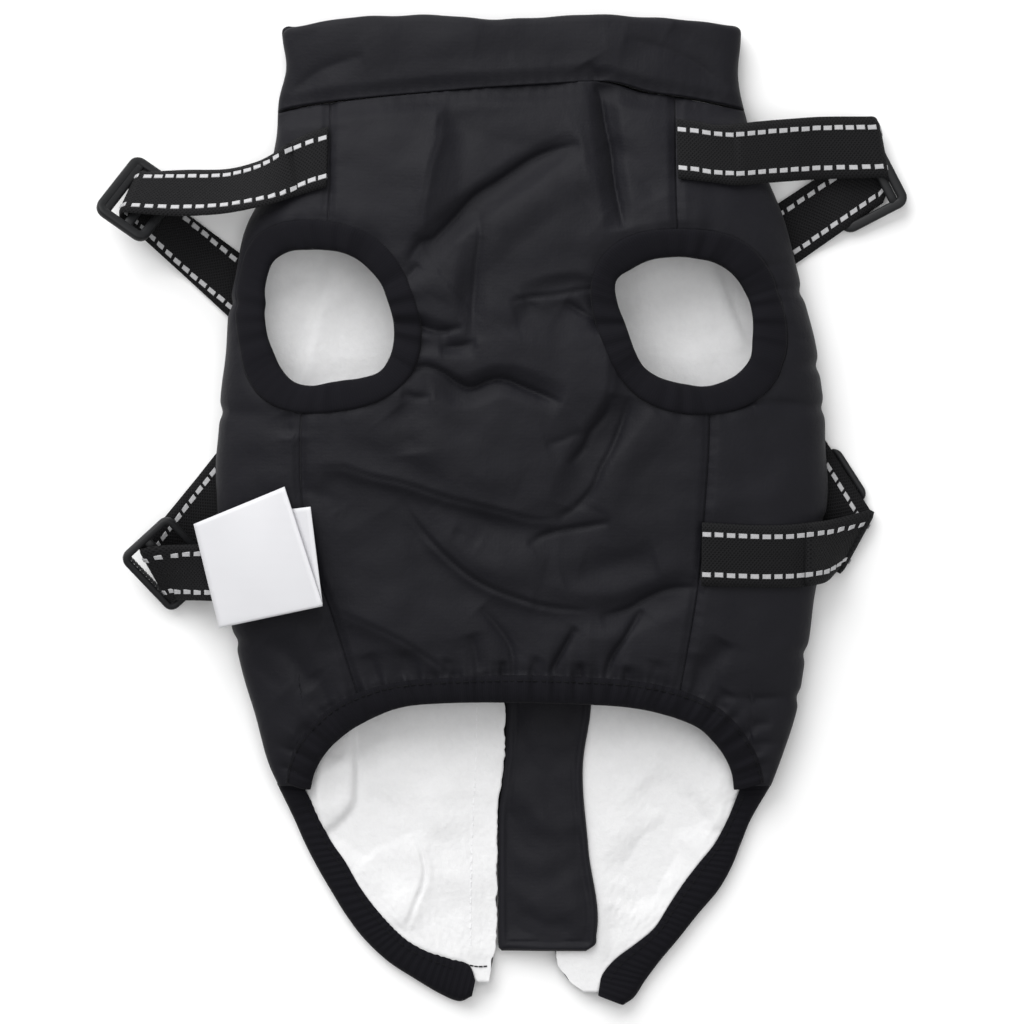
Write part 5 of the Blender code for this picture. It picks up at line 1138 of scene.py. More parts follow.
def make_collar_front():
    """Padded tube: a sheet that runs up to the neck edge, rolls over it and back down inside.

    Its relief is its creases, the dip at the seam, puckers that die away from the seam and from the neck
    edge, and soft waves.
    """
    cols = 190
    x = np.linspace(*COLLAR_ENDS, cols)
    low = seam_y(COLLAR_SEAM, x) + 0.15
    high = seam_y(COLLAR_EDGE, x) + 0.25 * np.sin(x / 2.9) * np.sin(x / 11.0 + 1.0)
    y, depth = rolled_over(low, high, 44, 11)
    rows = len(y)
    depth, side = depth + 0 * x, np.linspace(-1.0, 1.0, cols) * np.ones((rows, 1))
    y, depth, side = y.ravel(), depth.ravel(), side.ravel()
    s = side * PROFILE_HALF * half_width(y)
    pattern = np.column_stack([s, y])
    xy = np.column_stack([plan_x(s, y), y])
    relief = crease_relief(xy, COLLAR_CREASES)
    away, along, _side = distance_to(xy, curve_through(COLLAR_SEAM, 60))
    relief -= COLLAR_DIP * swell(away, COLLAR_DIP_REACH)
    relief += 0.18 * np.sin(2 * math.pi * 41 * along) * np.exp(-away / 3.5)
    edge_away = np.abs(seam_y(COLLAR_EDGE, xy[:, 0]) - y)
    relief += 0.35 * np.sin(xy[:, 0] / 4.1 + 1.5 * np.sin(xy[:, 0] / 9.0)) * np.exp(-edge_away / 4.0)
    relief = (relief + soft_noise(xy, 11, 50.0, 12.0, 0.3)) * edge_fade(s, y)
    quads = grid_quads(rows, cols, wrap_rows=True)
    piece = add_piece("collar_cloth_front", on_belly(pattern, depth, relief), quads, pattern, [SHELL_CLOTH],
                      ends=turned_ends(quads, side_caps(rows, cols)), nodes=["collar_front"])


def make_leg_band(side):
    """Elastic rib ring: a rounded section carried round the hole, puckered by its stitching."""
    count = 300
    inner, outer = leg_outline(side, count), leg_outline(side, count, BAND)
    along = np.linspace(0.0, 1.0, count, endpoint=False)
    ripple = 0.04 * uneven_wave(along, 44, 0.5, 5) + 0.16 * leg_tuck(along)
    relief = 0.5 * belly_relief(outer) + 0.3
    lines = []
    for across, depth in LEG_SECTION:
        lift = BAND_LIFT if depth < 0.3 else 0.0
        lines.append(on_belly(inner + (outer - inner) * across,
                              depth * BAND_WALL + BAND_TILT * (1 - across), relief + lift + ripple))
    piece = rib_tube("leg_rib_" + side, lines, True, "leg_band_" + side)
    declare_strip(piece, LEG_CUT)


def make_belly_binding():
    """Gathered elastic binding: a rounded fold carried along the arch of the hem."""
    rows = curve_through(BELLY_HEM, 420)
    free, seam = lay_out(rows[:, :2]), lay_out(rows[:, 2:])
    along = np.linspace(0.0, 1.0, len(rows))
    ripple = 0.12 * uneven_wave(along, 58, 0.4, 7) + 0.22 * hem_gather(along)
    lines = []
    for across, depth in HEM_SECTION:
        line = free + (seam - free) * across
        lines.append(on_belly(line, depth * HEM_WALL, 0.75 * belly_relief(line) + ripple))
    piece = rib_tube("hem_rib_belly", lines, False, "hem_binding_belly")
    declare_strip(piece, HEM_CUT)


# ------------------------------------------------------------------ back and lining
def back_edges(side, y):
    """Pattern distances of the centre edge and of the outer edge of one half of the back."""
    centre = np.array(TAIL_EDGES[side])
    centre_x = np.interp(y, centre[:, 0], centre[:, 1])
    rows = np.array(TAIL_BINDINGS[side])
    reach = 0.5 * (rows[:, :2] + rows[:, 2:])
    order = np.argsort(reach[:, 1])
    outer_x = np.interp(y, reach[order, 1], reach[order, 0])
    full = SIGN[side] * (half_width(y) + (CURL_ARC - CURL) * curl(y))
    outer = np.where(y > TAILS_FROM, full, lay_out_back(np.column_stack([outer_x, y]))[:, 0])
    return lay_out_back(np.column_stack([centre_x, y]))[:, 0], outer


def strap_shadow(xy, sign):
    """1 on the straps' hidden ends, under the back, fading over a millimetre and a half."""
    shade = np.zeros(len(xy))
    for name, strap in STRAPS.items():
        if np.sign(strap["end"][0]) != sign:
            continue
        rows = strap_rows(name)[0][-RETURN_ROWS:]
        line = 0.5 * (rows[:, :2] + rows[:, 3:5])
        tip = line[-1] + unit(line[-1] - line[-2])
        away, _along, _side = distance_to(xy, np.vstack([line, tip]))
        shade = np.maximum(shade, smoothstep((REACH_UNDER - away) / REACH_FADE))
    return shade


def quilting(y):
    """Grooves of the back's crosswise quilting: the sum of exp(-((y - line) / width)^2)."""
    groove = np.zeros(len(y))
    for at in QUILT_LINES:
        groove += np.exp(-((y - at) / QUILT_WIDTH) ** 2)
    return groove


def back_sheet(name, side, low, high, cols, rows, relief, finish, node, slot, limit=None):
    """One half of the back between its centre edge and its outer edge, row by row.

    A limit makes it lining: it stops that share of the way up the curl, and its centre edge is ragged.
    """
    bottom, top = TAIL_EDGES[side][0][0], BACK_TOP - 0.2
    y = bottom + (top - bottom) * np.linspace(0.0, 1.0, rows)
    centre, outer = back_edges(side, y)
    if limit is not None:
        if side == "left":
            centre = centre + LINING_SETBACK * smoothstep((y + 100.0) / 22.0)
        ragged = RAGGED * soft_noise(np.column_stack([centre, y]), 41, 9.0, 1.6, 1.0)
        centre = centre + ragged * (y < -60.0)
        lined = SIGN[side] * (half_width(y) - CURL + limit * CURL_ARC)
        outer = outer + (lined - outer) * smoothstep((y + 97.0) / 8.0)
    p = across_rows(centre, outer, cols)
    pattern = np.column_stack([p, np.repeat(y, cols)])
    over, under = relief(pattern, on_back(pattern, low)[:, :2], side)
    points = np.vstack([on_back(pattern, high + over), on_back(pattern, low + under)])
    quads, _kinds = with_rim(grid_quads(rows, cols), len(pattern))
    piece = add_piece(name, points, quads, np.vstack([pattern, pattern]), [finish], nodes=[node], slot=slot)
    declare_panel(piece, np.ptp(p), np.ptp(y), ["floor"] if slot == "shell" else ["back_cloth_" + side])


def shell_relief(pattern, xy, side):
    """The padded shell: quilting pulls its under face up, the straps' ends lie in it."""
    under = QUILT_PULL * quilting(pattern[:, 1]) + STRAP_BED * strap_shadow(xy, SIGN[side])
    edge = np.minimum(np.abs(pattern[:, 1] - BACK_TOP) / 5.0, 1.0)
    under = np.maximum(under, 0.8 * (1 - edge) ** 2)
    return np.zeros(len(pattern)), np.minimum(under, MOST_PULL)


def lining_relief(pattern, xy, side):
    """The fleece: its creases, soft waves and a ragged pile, lying still under the zip guard."""
    calm = smoothstep((np.abs(xy[:, 0] - 22.0) - 9.0) / 6.0) if side == "right" else 1.0
    rise = crease_relief(xy, LINING_CREASES) + soft_noise(xy, 23, 40.0, 9.0, 0.25)
    rise += soft_noise(xy, 29, 3.4, 1.5, 0.045)
    away, _along, beside = distance_to(xy, curve_through(TAIL_BINDINGS[side], 60)[:, 2:])
    outside = away * beside * SIGN[side]
    free = smoothstep((3.0 - outside) / 4.0)
    sunk = 0.9 * smoothstep((outside + 0.6) / 1.2) * (xy[:, 1] < -86.0)
    return np.clip(rise, -1.25, 2.6) * calm * free + 0.1 - sunk, np.zeros(len(pattern))


def make_back():
    """The padded shell of each half on the floor, and its fleece lining on top."""
    for side in SIGN:
        back_sheet("back_cloth_" + side, side, 0.0, SHELL - 0.1, 62, 220, shell_relief, SHELL_CLOTH,
                   "back_" + side, "shell")
        back_sheet("lining_fleece_" + side, side, SHELL + 0.1, FLEECE_TOP, 92, 300, lining_relief,
                   FLEECE_CLOTH, "lining_" + side, "fleece", LINING_SHARE)


def binding_rise(y):
    """Height of a tail binding, which grows where it goes under the side of the coat."""
    return TAIL_BINDING_Z + TAIL_BINDING_STEP * smoothstep((y + 100.0) / 9.0)


def make_tail_binding(side):
    """A rounded bar of binding along the edge of one tail, gathered, and thicker at its lower end."""
    rows = curve_through(TAIL_BINDINGS[side], 260)
    tucked = rows[:1] + (rows[:1] - rows[6:7]) * np.linspace(1.0, 0.1, 8)[:, None]
    rows = np.vstack([tucked, rows])
    outer, inner = rows[:, :2], rows[:, 2:]
    along = np.linspace(0.0, 1.0, len(rows))
    rise = binding_rise(outer[:, 1])
    rise = rise + 0.12 * np.sin(2 * math.pi * 38 * along + 2 * np.sin(21 * along))
    rise = rise + 0.9 * np.exp(-((along - 1.0) / 0.06) ** 2)
    lines = [np.column_stack([outer + (inner - outer) * across, rise * height])
             for across, height in TAIL_SECTION]
    piece = rib_tube("tail_rib_" + side, lines, False, "hem_binding_tail_" + side)
    declare_strip(piece, TAIL_CUT)


def make_collar_back(side):
    """Lower half of the collar: doubled cloth on the floor that rolls over at the neck edge."""
    cols = 70
    y, rise = (values.ravel() for values in rolled_over(BACK_TOP + 0.2, COLLAR_TOP - 1.2, 26, 9))
    rows = len(y)
    centre = np.full(rows, ZIP_LEFT if side == "left" else ZIP_RIGHT)
    start = lay_out_back(np.column_stack([centre, y]))[:, 0]
    full = SIGN[side] * (half_width(y) - CURL + CURL_ARC)
    pattern = np.column_stack([across_rows(start, full, cols), np.repeat(y, cols)])
    rise = np.repeat(rise, cols)
    soft = soft_noise(pattern, 31, 40.0, 10.0, 0.2) * (rise > 1.0)
    quads = grid_quads(rows, cols, wrap_rows=True)
    piece = add_piece("collar_cloth_back_" + side, on_back(pattern, np.maximum(rise + soft, 0.0)), quads,
                      pattern, [SHELL_CLOTH], ends=turned_ends(quads, side_caps(rows, cols)),
                      nodes=["collar_back_" + side])


def make_zip_guard():
    """Flap inside the zip: a double sheet with a folded, topstitched edge and a few soft waves.

    The wall thins as a square root towards the edge, the fold is a bump and the topstitching a groove,
    both of the form exp(-((edge - at) / width)^2).
    """
    cols, rows, fine_to = 44, 330, -136.0
    y = np.concatenate([np.linspace(GUARD_END, fine_to, 20)[:-1],
                        np.linspace(fine_to, COLLAR_TOP - 3.0, rows - 19)])
    x0, x1 = np.interp(y, GUARD_LEFT[:, 0], GUARD_LEFT[:, 1]), smooth_table(GUARD_RIGHT, 1, y)
    x = across_rows(x0, x1, cols)
    x0, x1, y = np.repeat(x0, cols), np.repeat(x1, cols), np.repeat(y, cols)
    xy = np.column_stack([x, y])
    level = GUARD_Z + GUARD_STEP * smoothstep((x - 1.0) / 13.0)
    edge = np.minimum(np.minimum(x - x0, x1 - x), y - GUARD_END)
    puff = 0.45 * np.exp(-((edge - 1.4) / 1.2) ** 2)
    puff = puff + 0.35 * soft_noise(xy, 37, 30.0, 7.0, 1.0) * smoothstep(edge / 4)
    puff -= 0.35 * np.exp(-((edge - 3.0) / 0.5) ** 2)
    wall = GUARD_WALL * np.sqrt(np.clip(edge / 0.8, 0.15, 1.0))
    points = np.vstack([np.column_stack([xy, level + wall + np.clip(puff, -0.5, 1.1)]),
                        np.column_stack([xy, level])])
    quads, _kinds = with_rim(grid_quads(rows, cols), len(xy))
    piece = add_piece("zip_guard_flap", points, quads, np.vstack([xy, xy]), [SHELL_CLOTH],
                      nodes=["zip_guard"])
    declare_panel(piece, *GUARD_CUT, ["lining_fleece_right"])


# ------------------------------------------------------------------ straps and sliders
def belly_height(xy):
    """Height of the belly side's outer face at plan points."""
    pattern = lay_out(xy)
    return on_belly(pattern, 0.0, belly_relief(pattern))[:, 2]


@cache
def strap_rows(name):
    """Rows of two edges: the front over the coat, the turn round the slider's bar, the return.

    Where the front rests on the coat, it is lifted until its whole width clears the cloth, and smoothed
    over nine rows. The turn is a half circle about the bar. The return sinks from the bar to the strap's
    sewn end. With them come the slider's middle, the way out from the coat, and its face normal.
    """
    strap, bend = STRAPS[name], STRAPS[name]["bend"]
    rest = STRAP_REST + 0.5 * WEBBING_WALL
    front = np.array([[np.nan if v is None else v for v in row] for row in strap["front"]])
    resting = np.isnan(front[:, 2])
    first_free = int(np.argmin(resting))
    for edge in (0, 3):
        front[resting, edge + 2] = belly_height(front[resting][:, edge:edge + 2]) + rest
    fine = curve_through(front, 9 * len(front))
    sign = np.sign(front[-1, 0])
    resting = sign * fine[:, 0] < sign * front[first_free, 0]
    a, b = fine[resting, :2], fine[resting, 3:5]
    shares = np.linspace(0.0, 1.0, 7)
    clear = np.column_stack([belly_height(a + (b - a) * share) + rest for share in shares])
    low_a, low_b = clear[:, 0], clear[:, -1]
    lift = np.max(clear - (low_a[:, None] + (low_b - low_a)[:, None] * shares), axis=1)
    for height, low in ((2, low_a), (5, low_b)):
        smooth = np.convolve(np.pad(low + lift, 4, mode="edge"), np.ones(9) / 9, mode="valid")
        fine[resting, height] = np.maximum(smooth, low + lift - 0.25)
    a, b = fine[-1, :3], fine[-1, 3:]
    before = 0.5 * (fine[-2, :3] + fine[-2, 3:])
    bar = unit(a - b)
    out = unit(np.cross(bar, (0.0, 0.0, 1.0)))
    out = out if out @ (0.5 * (a + b) - before) > 0 else -out
    normal = unit(np.cross(bar, out))
    normal = normal if normal[2] > 0 else -normal
    slip = -strap.get("slip", 0.0) * bar
    angle = np.linspace(0.0, math.pi, 16)[1:-1, None]
    shift = bend * (np.sin(angle) * out - (1 - np.cos(angle)) * normal) + slip * (angle / math.pi) ** 2
    turn = np.hstack([a + shift, b + shift])
    start = np.concatenate([a - 2 * bend * normal + slip, b - 2 * bend * normal + slip])
    end = np.array(strap["end"], float)
    share = np.linspace(0.0, 1.0, 4 * RETURN_ROWS)[:, None]
    back = start + (end - start) * share
    sinks_from, sinks_to = strap["sinks"]
    sunk = np.clip((share[:, 0] - sinks_from) / (sinks_to - sinks_from), 0.0, 1.0)
    sunk = 0.5 * sunk + 0.5 * smoothstep(0.94 * sunk)
    for edge in (2, 5):
        back[:, edge] = start[edge] + (end[edge] - start[edge]) * sunk
    if "arch" in strap:
        crest, spread, rise = strap["arch"]
        back[:, (2, 5)] += rise * np.exp(-((share - crest) / spread) ** 2)
    slide = -strap.get("slide", 0.0) * bar
    slider = (0.5 * (a + b) - bend * normal + slide, out, normal)
    if strap["turn"] is None:
        at, run, _across = flat_slider_place()
        slider = (np.array((*at, SLIDER_CLEAR + 0.5 * SLIDER_THICK)), np.array((*-run, 0.0)),
                  np.array((0.0, 0.0, 1.0)))
    return np.vstack([fine, turn, back]), slider


def strap_frame(name):
    """Middle line, half width vector, face normal and run of a strap, row by row."""
    rows, _frame = strap_rows(name)
    a, b = rows[:, :3], rows[:, 3:]
    line = 0.5 * (a + b)
    normal = unit(np.cross(a - b, np.gradient(line, axis=0)))
    if normal[0, 2] < 0:
        normal = -normal
    return line, 0.5 * (a - b), normal, run_along(line)


def make_strap(name):
    """Webbing: a flat section with rounded selvedges, carried along the strap's rows."""
    line, half, normal, run = strap_frame(name)
    u = np.concatenate([np.linspace(-1.0, 1.0, 13), np.linspace(1.0, -1.0, 13)])
    face = np.concatenate([np.ones(13), -np.ones(13)])
    thick = 0.5 * WEBBING_WALL * face * (1 - 0.75 * np.abs(u) ** SELVEDGE)
    rings = line[:, None] + half[:, None] * u[None, :, None] + normal[:, None] * thick[None, :, None]
    rows, cols = rings.shape[:2]
    uv = np.stack([np.repeat(run, cols), np.tile(0.5 * WEBBING * u, rows)], axis=-1)
    quads = grid_quads(rows, cols, wrap_cols=True)
    ends = [np.arange(cols), (np.arange(cols) + (rows - 1) * cols)[::-1]]
    piece = add_piece("strap_webbing_" + name, rings.reshape(-1, 3), quads, uv, [WEBBING_CLOTH],
                      ends=turned_ends(quads, ends), nodes=["strap_" + name], slot="webbing")
    declare_strip(piece, WEBBING)
    make_dashes(name, line, half, normal, run)


BOX_CORNERS = np.array([(-1, -1, 0), (1, -1, 0), (1, 1, 0), (-1, 1, 0),
                        (-0.86, -0.8, 1), (0.86, -0.8, 1), (0.86, 0.8, 1), (-0.86, 0.8, 1)], float)
BOX_QUADS = np.array([(3, 2, 1, 0), (4, 5, 6, 7), (0, 1, 5, 4), (1, 2, 6, 5), (2, 3, 7, 6), (3, 0, 4, 7)])


def blocks(centre, along, across, up):
    """Many small bevelled blocks at once: corner = centre + i along + j across + k up."""
    centre, along, across, up = (v[:, None] for v in np.broadcast_arrays(centre, along, across, up))
    c = BOX_CORNERS
    points = centre + along * c[:, :1] + across * c[:, 1:2] + up * c[:, 2:]
    quads = BOX_QUADS[None] + 8 * np.arange(len(centre))[:, None, None]
    return points.reshape(-1, 3), quads.reshape(-1, 4)


def joined(parts):
    """Several surfaces as one: their points one after the other, their quads counted on."""
    starts = np.cumsum([0] + [len(points) for points, _quads in parts])
    return (np.vstack([points for points, _quads in parts]),
            np.vstack([quads + start for (_points, quads), start in zip(parts, starts)]))


def outward(points, quads):
    """Turn the faces of each eight-cornered block to point away from its own middle."""
    of_block = quads.reshape(-1, 6, 4)
    middle_of = points[of_block].mean(axis=(1, 2))
    a, b, c, _d = (points[of_block[..., k]] for k in range(4))
    facing = np.sum(np.cross(b - a, c - a) * (a - middle_of[:, None]), axis=-1).sum(axis=1)
    of_block[facing < 0] = of_block[facing < 0][..., ::-1]
    return of_block.reshape(-1, 4)


def add_blocks(name, parts, finish, slot, nodes=()):
    """Many separate little blocks as one flat-shaded piece."""
    points, quads = joined(parts)
    piece = add_piece(name, points, outward(points, quads), None, [finish], nodes=nodes, slot=slot)
    piece.data.polygons.foreach_set("use_smooth", np.zeros(len(piece.data.polygons), bool))


def make_dashes(name, line, half, normal, run):
    """Rows of reflective stitches, raised from both faces of the webbing at an even pitch."""
    at = np.arange(1.6, run[-1] - 1.6, DASH_PITCH)
    ahead = unit(sampled(line, run, at + 0.4) - sampled(line, run, at - 0.4))
    across, up = unit(sampled(half, run, at)), unit(sampled(normal, run, at))
    parts = []
    for row in (-DASH_ROW, DASH_ROW):
        for face in (1.0, -1.0):
            jitter = 0.06 * np.sin(at * 7.3 + row)
            centre = (sampled(line, run, at) + across * (row + jitter)[:, None]
                      + face * up * (0.5 * WEBBING_WALL - 0.10))
            parts.append(blocks(centre, ahead * 0.5 * DASH_LENGTH, across * 0.5 * DASH_WIDTH,
                                face * up * DASH_RISE))
    add_blocks("strap_dashes_" + name, parts, REFLECTIVE, "webbing")


def rounded_loop(low, high, half, corner, count):
    """Closed rounded rectangle in the slider's plane: along out from low to high, across +-half."""
    t = np.linspace(0.0, 0.5 * math.pi, count)
    cos, sin = corner * np.cos(t), corner * np.sin(t)
    return np.vstack([
        np.column_stack([high - corner + cos, half - corner + sin]),
        np.column_stack([low + corner - sin, half - corner + cos]),
        np.column_stack([low + corner - cos, corner - half - sin]),
        np.column_stack([high - corner + sin, corner - half - cos]),
    ])


def bar_section(across, thick):
    """Superellipse section of a moulded bar: half size times sign(cos) |cos|^0.6, and the same of sin."""
    t = np.linspace(0.0, 2 * math.pi, BAR_POINTS, endpoint=False)
    c, s = np.cos(t), np.sin(t)
    return (0.5 * across * np.sign(c) * np.abs(c) ** BAR_SQUARENESS,
            0.5 * thick * np.sign(s) * np.abs(s) ** BAR_SQUARENESS)


def make_slider(name):
    """Moulded three-bar slider: an oval bar carried round a rounded frame, and straight bars across."""
    _rows, (axis, out, normal) = strap_rows(name)
    lies_flat = STRAPS[name]["turn"] is None
    turn = math.radians(STRAPS[name]["turn"] or 0.0)
    out = unit(math.cos(turn) * out + math.sin(turn) * np.cross((0.0, 0.0, 1.0), out))
    bar = unit(np.cross(normal, out))
    low, high = FRAME_REACH.get(name, (INNER_BAR[0], OUTER_BAR[1]))
    rim = RAIL[name]
    half = 0.5 * WEBBING + RAIL_CLEAR + rim

    def world(p, q, h):
        """Points that lie p out from the coat, q along the bar and h up the face normal."""
        return (axis + p[..., None] * out + q[..., None] * bar + h[..., None] * normal).reshape(-1, 3)

    loop = rounded_loop(low + 0.5 * rim, high - 0.5 * rim, half - 0.5 * rim, FRAME_CORNER, 7)
    ahead = unit(np.roll(loop, -1, axis=0) - np.roll(loop, 1, axis=0))
    w, h = bar_section(rim, SLIDER_THICK)
    p, q = loop[:, :1] + ahead[:, 1:] * w, loop[:, 1:] - ahead[:, :1] * w
    h = np.broadcast_to(h, p.shape)
    if "arch" in STRAPS[name]:
        h = h - FRAME_DROP * np.clip(p / low, 0.0, 1.0)
    if lies_flat:
        rail = smoothstep(np.abs(q) - 0.5 * WEBBING - 0.5)
        share = (THIN_BAR + (SLIDER_THICK - THIN_BAR) * rail) / SLIDER_THICK
        h = (h + 0.5 * SLIDER_THICK) * share - 0.5 * SLIDER_THICK
    parts, ends = [(world(p, q, h), grid_quads(len(loop), BAR_POINTS, True, True))], []
    steps = 9
    for left, right in CROSS_BARS.get(name, (MIDDLE_BAR,)):
        w, h = bar_section(right - left, THIN_BAR if lies_flat else SLIDER_THICK - 0.5)
        h = h - 0.5 * (SLIDER_THICK - THIN_BAR) * lies_flat
        p = 0.5 * (left + right) + np.broadcast_to(w, (steps, BAR_POINTS))
        q = np.broadcast_to(np.linspace(-(half - 1.6), half - 1.6, steps)[:, None], p.shape)
        points, quads = world(p, q, np.broadcast_to(h, p.shape)), grid_quads(steps, BAR_POINTS, False, True)
        if enclosed_volume(points, quads) * enclosed_volume(*parts[0]) < 0:
            quads = quads[:, ::-1]
        ring, start = np.arange(BAR_POINTS), sum(len(part[0]) for part in parts)
        ends += [end + start for end in turned_ends(quads, [ring, ring + (steps - 1) * BAR_POINTS])]
        parts.append((points, quads))
    add_piece("slider_frame_" + name, *joined(parts), None, [PLASTIC], ends=ends,
              nodes=["slider_" + name], slot="plastic")
    if name != GRIPPED:
        return
    t = np.linspace(-GRIP_SPAN * half, GRIP_SPAN * half, GRIPS)
    centre = world(np.full(GRIPS, high - rim - 0.15), t, np.zeros(GRIPS))
    add_blocks("slider_grip_" + name, [blocks(centre, bar * 0.55, normal * 0.9, -out * 0.9)], PLASTIC,
               "plastic")


# ------------------------------------------------------------------ label, zip and sewing
def make_label():
    """Blank care label: one strip folded at the bottom into two leaves, each a little bowed."""
    front = strap_rows("lower_left")[0][:LABEL_ROWS][::-1]
    strap_top = np.maximum(front[:, 2], front[:, 5]) + 0.5 * WEBBING_WALL
    smooth = np.polyfit(front[:, 0], strap_top, 3)
    clear = np.max(strap_top - np.polyval(smooth, front[:, 0]))
    u = np.linspace(0.0, 1.0, 22)

    def leaf(top, extra, bow):
        """One leaf: straight from the fold to its top edge, on the strap, bowed by sin(pi t)."""
        t = np.linspace(0.0, 1.0, 26)[:, None]
        bottom, top = np.array(LABEL_FOLD), np.array(top)
        left, right = (bottom[k:k + 2] + (top[k:k + 2] - bottom[k:k + 2]) * t for k in (0, 2))
        p = left[:, None] + (right - left)[:, None] * u[None, :, None]
        z = np.polyval(smooth, p[..., 0]) + clear + LABEL_REST + 0.5 * LABEL_WALL + extra
        z = z + bow * np.sin(math.pi * t) * (0.4 + 0.6 * u) + 0.5 * bow * np.sin(2 * math.pi * u) * t
        return np.concatenate([p, z[..., None]], axis=-1)

    back, front_leaf = leaf(LABEL_BACK_TOP, 0.0, 0.25), leaf(LABEL_FRONT_TOP, 2 * LABEL_LOOP, 1.1)
    angle = np.linspace(0.0, math.pi, 8)[1:-1, None, None]
    turn = LABEL_LOOP * np.concatenate([0 * angle, -np.sin(angle), 1 - np.cos(angle)], axis=-1)
    strip = np.concatenate([back[::-1], back[:1] + turn, front_leaf])
    normal = unit(np.cross(np.gradient(strip, axis=1), np.gradient(strip, axis=0)))
    rows, cols = strip.shape[:2]
    points = np.concatenate([(strip + 0.5 * LABEL_WALL * normal).reshape(-1, 3),
                             (strip - 0.5 * LABEL_WALL * normal).reshape(-1, 3)])
    quads, _kinds = with_rim(grid_quads(rows, cols), rows * cols)
    piece = add_piece("care_label_leaf", points, quads, None, [LABEL_SATIN], nodes=["care_label"],
                      slot="label")
    declare_strip(piece, LABEL_CUT)


def make_zip_teeth():
    """Two rows of moulded teeth that mesh down the middle of the zip, over a narrow core."""
    y = np.arange(ZIP_END + 1.0, CHAIN_TOP - 0.4, 0.5 * TOOTH_PITCH)
    side = np.where(np.arange(len(y)) % 2 == 0, -1.0, 1.0)
    centre = np.column_stack([CHAIN_X + 1.15 * side, y, np.full(len(y), 1.55)])
    core = np.array([(CHAIN_X, 0.5 * (ZIP_END + CHAIN_TOP), 2.1)])
    add_blocks("zip_teeth", [
        blocks(centre, (1.75, 0.0, 0.0), (0.0, 0.40, 0.0), (0.0, 0.0, 1.5)),
        blocks(core, (2.9, 0.0, 0.0), (0.0, 0.5 * (CHAIN_TOP - ZIP_END), 0.0), (0.0, 0.0, 0.5)),
    ], ZIP_PLASTIC, "plastic", ["zip_chain"])


def stitches(path, pitch, length, width, height):
    """A row of sewn stitches: small blocks along a path at an even pitch, half sunk in the cloth."""
    run, up = run_along(path), np.array((0.0, 0.0, 1.0))
    at = np.arange(0.6 * pitch, run[-1] - 0.5 * pitch, pitch)
    ahead = unit(sampled(path, run, at + 0.3) - sampled(path, run, at - 0.3))
    return blocks(sampled(path, run, at) - 0.25 * height * up, ahead * 0.5 * length,
                  unit(np.cross(up, ahead)) * 0.5 * width, up * 1.25 * height)


def lining_line(side, points, count):
    """A curve in plan, laid on the fleece of one side of the back."""
    path = curve_through(points, count)
    pattern = lay_out_back(path)
    over, _under = lining_relief(pattern, path, side)
    return on_back(pattern, FLEECE_TOP + over)


def make_sewing():
    """Seams and topstitching that show: bindings, leg bands, and the lining's edges."""
    rows = curve_through(BELLY_HEM, 320)
    free, seam = lay_out(rows[:, :2]), lay_out(rows[:, 2:])
    line = free + (seam - free) * 0.82
    lift = 0.75 * belly_relief(line) + 0.22 * hem_gather(np.linspace(0.0, 1.0, len(rows)))
    black = [stitches(on_belly(line, -0.14 * HEM_WALL, lift), *SEAM_THREAD)]
    for side in LEG_HOLES:
        inner, outer = leg_outline(side, 240), leg_outline(side, 240, BAND)
        line = inner + (outer - inner) * 0.84
        line = np.vstack([line, line[:1]])
        path = on_belly(line, -0.08 * BAND_WALL + 0.25, 0.95 * belly_relief(line) + 0.35)
        black.append(stitches(path, *SEAM_THREAD))
    for side in SIGN:
        rows = curve_through(TAIL_BINDINGS[side], 220)
        path = rows[:, :2] + (rows[:, 2:] - rows[:, :2]) * 0.80
        path = np.column_stack([path, binding_rise(rows[:, 1]) * 1.05])[3:-3]
        black.append(stitches(path, *TAIL_THREAD))
    black.append(stitches(lining_line("left", TAIL_END_STITCH, 40), *TAIL_END_THREAD))
    add_blocks("seam_stitches", black, BLACK_THREAD, "rib")
    white = stitches(lining_line("left", FLEECE_STITCH, 200), *FLEECE_THREAD)
    add_blocks("fleece_stitches", [white], WHITE_THREAD, "fleece")


def add_object(name, data, place_at):
    """Put a lamp, a camera or a plain mesh into the scene."""
    thing = bpy.data.objects.new(name, data)
    thing.location = place_at
    bpy.context.scene.collection.objects.link(thing)
    return thing


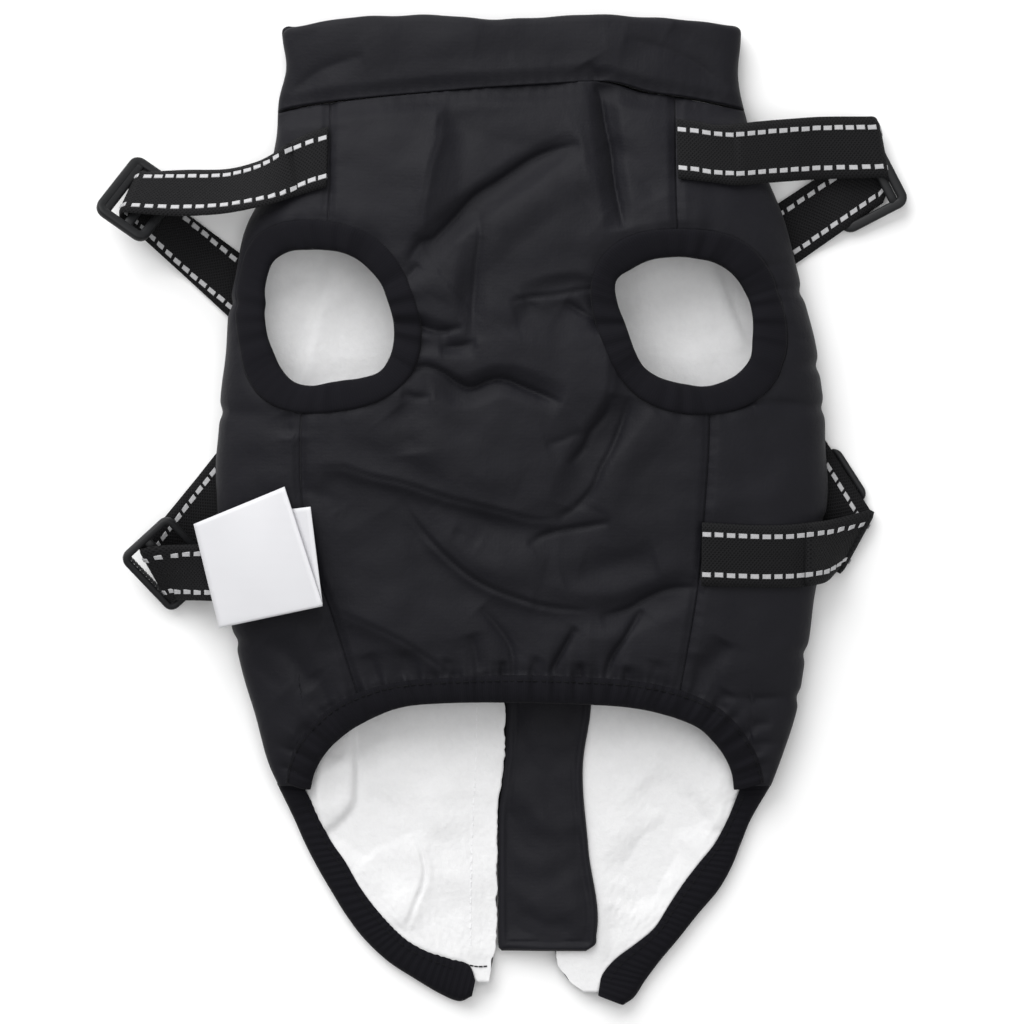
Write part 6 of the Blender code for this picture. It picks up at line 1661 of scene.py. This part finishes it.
def make_floor_and_lights():
    """A wide pale floor just under the coat, softboxes over it, and a camera straight above."""
    scene, half = bpy.context.scene, FLOOR_HALF
    mesh = bpy.data.meshes.new("studio_floor")
    mesh.from_pydata([(-half, -half, 0), (half, -half, 0), (half, half, 0), (-half, half, 0)], [],
                     [(0, 1, 2, 3)])
    mesh.materials.append(make_floor_finish())
    add_object("studio_floor", mesh, (0.0, 0.0, FLOOR_Z))

    for name, (place_at, side, power) in SOFTBOXES.items():
        light = bpy.data.lights.new(name, "AREA")
        light.shape, light.size, light.energy = "SQUARE", side, power
        way = np.zeros(3) - place_at
        pitch = math.atan2(math.hypot(way[0], way[1]), -way[2])
        lamp = add_object(name, light, place_at)
        lamp.rotation_euler = (pitch, 0.0, math.atan2(-way[0], way[1]))
    scene.world = bpy.data.worlds.new("studio")
    scene.world.use_nodes = True
    sky = scene.world.node_tree.nodes["Background"]
    sky.inputs["Color"].default_value = (1.0, 1.0, 1.0, 1.0)
    sky.inputs["Strength"].default_value = SKY

    camera = bpy.data.cameras.new("camera")
    camera.sensor_width = SENSOR
    camera.lens = SENSOR * (CAMERA_Z - VIEW_LEVEL) / VIEW_SPAN
    camera.clip_end = 20.0
    scene.camera = add_object("camera", camera, (CAMERA_X, CAMERA_Y, CAMERA_Z))
    scene.view_settings.view_transform = "Standard"


def dress_nodes():
    """Small hard parts and zip tapes keep their solids and get their own finish."""
    for name, finish in (("zip_tape_left", TAPE_CLOTH), ("zip_tape_right", TAPE_CLOTH),
                         ("zip_slider", ZIP_PLASTIC), ("zip_pull", ZIP_PLASTIC)):
        node = frame["nodes"][name]
        node.data.materials.clear()
        node.data.materials.append(finish)


make_floor_and_lights()
make_belly_side()
make_collar_front()
make_belly_binding()
make_back()
make_zip_guard()
make_zip_teeth()
for side_name in SIGN:
    make_leg_band(side_name)
    make_tail_binding(side_name)
    make_collar_back(side_name)
for strap_name in STRAPS:
    make_strap(strap_name)
    make_slider(strap_name)
make_label()
make_sewing()
dress_nodes()
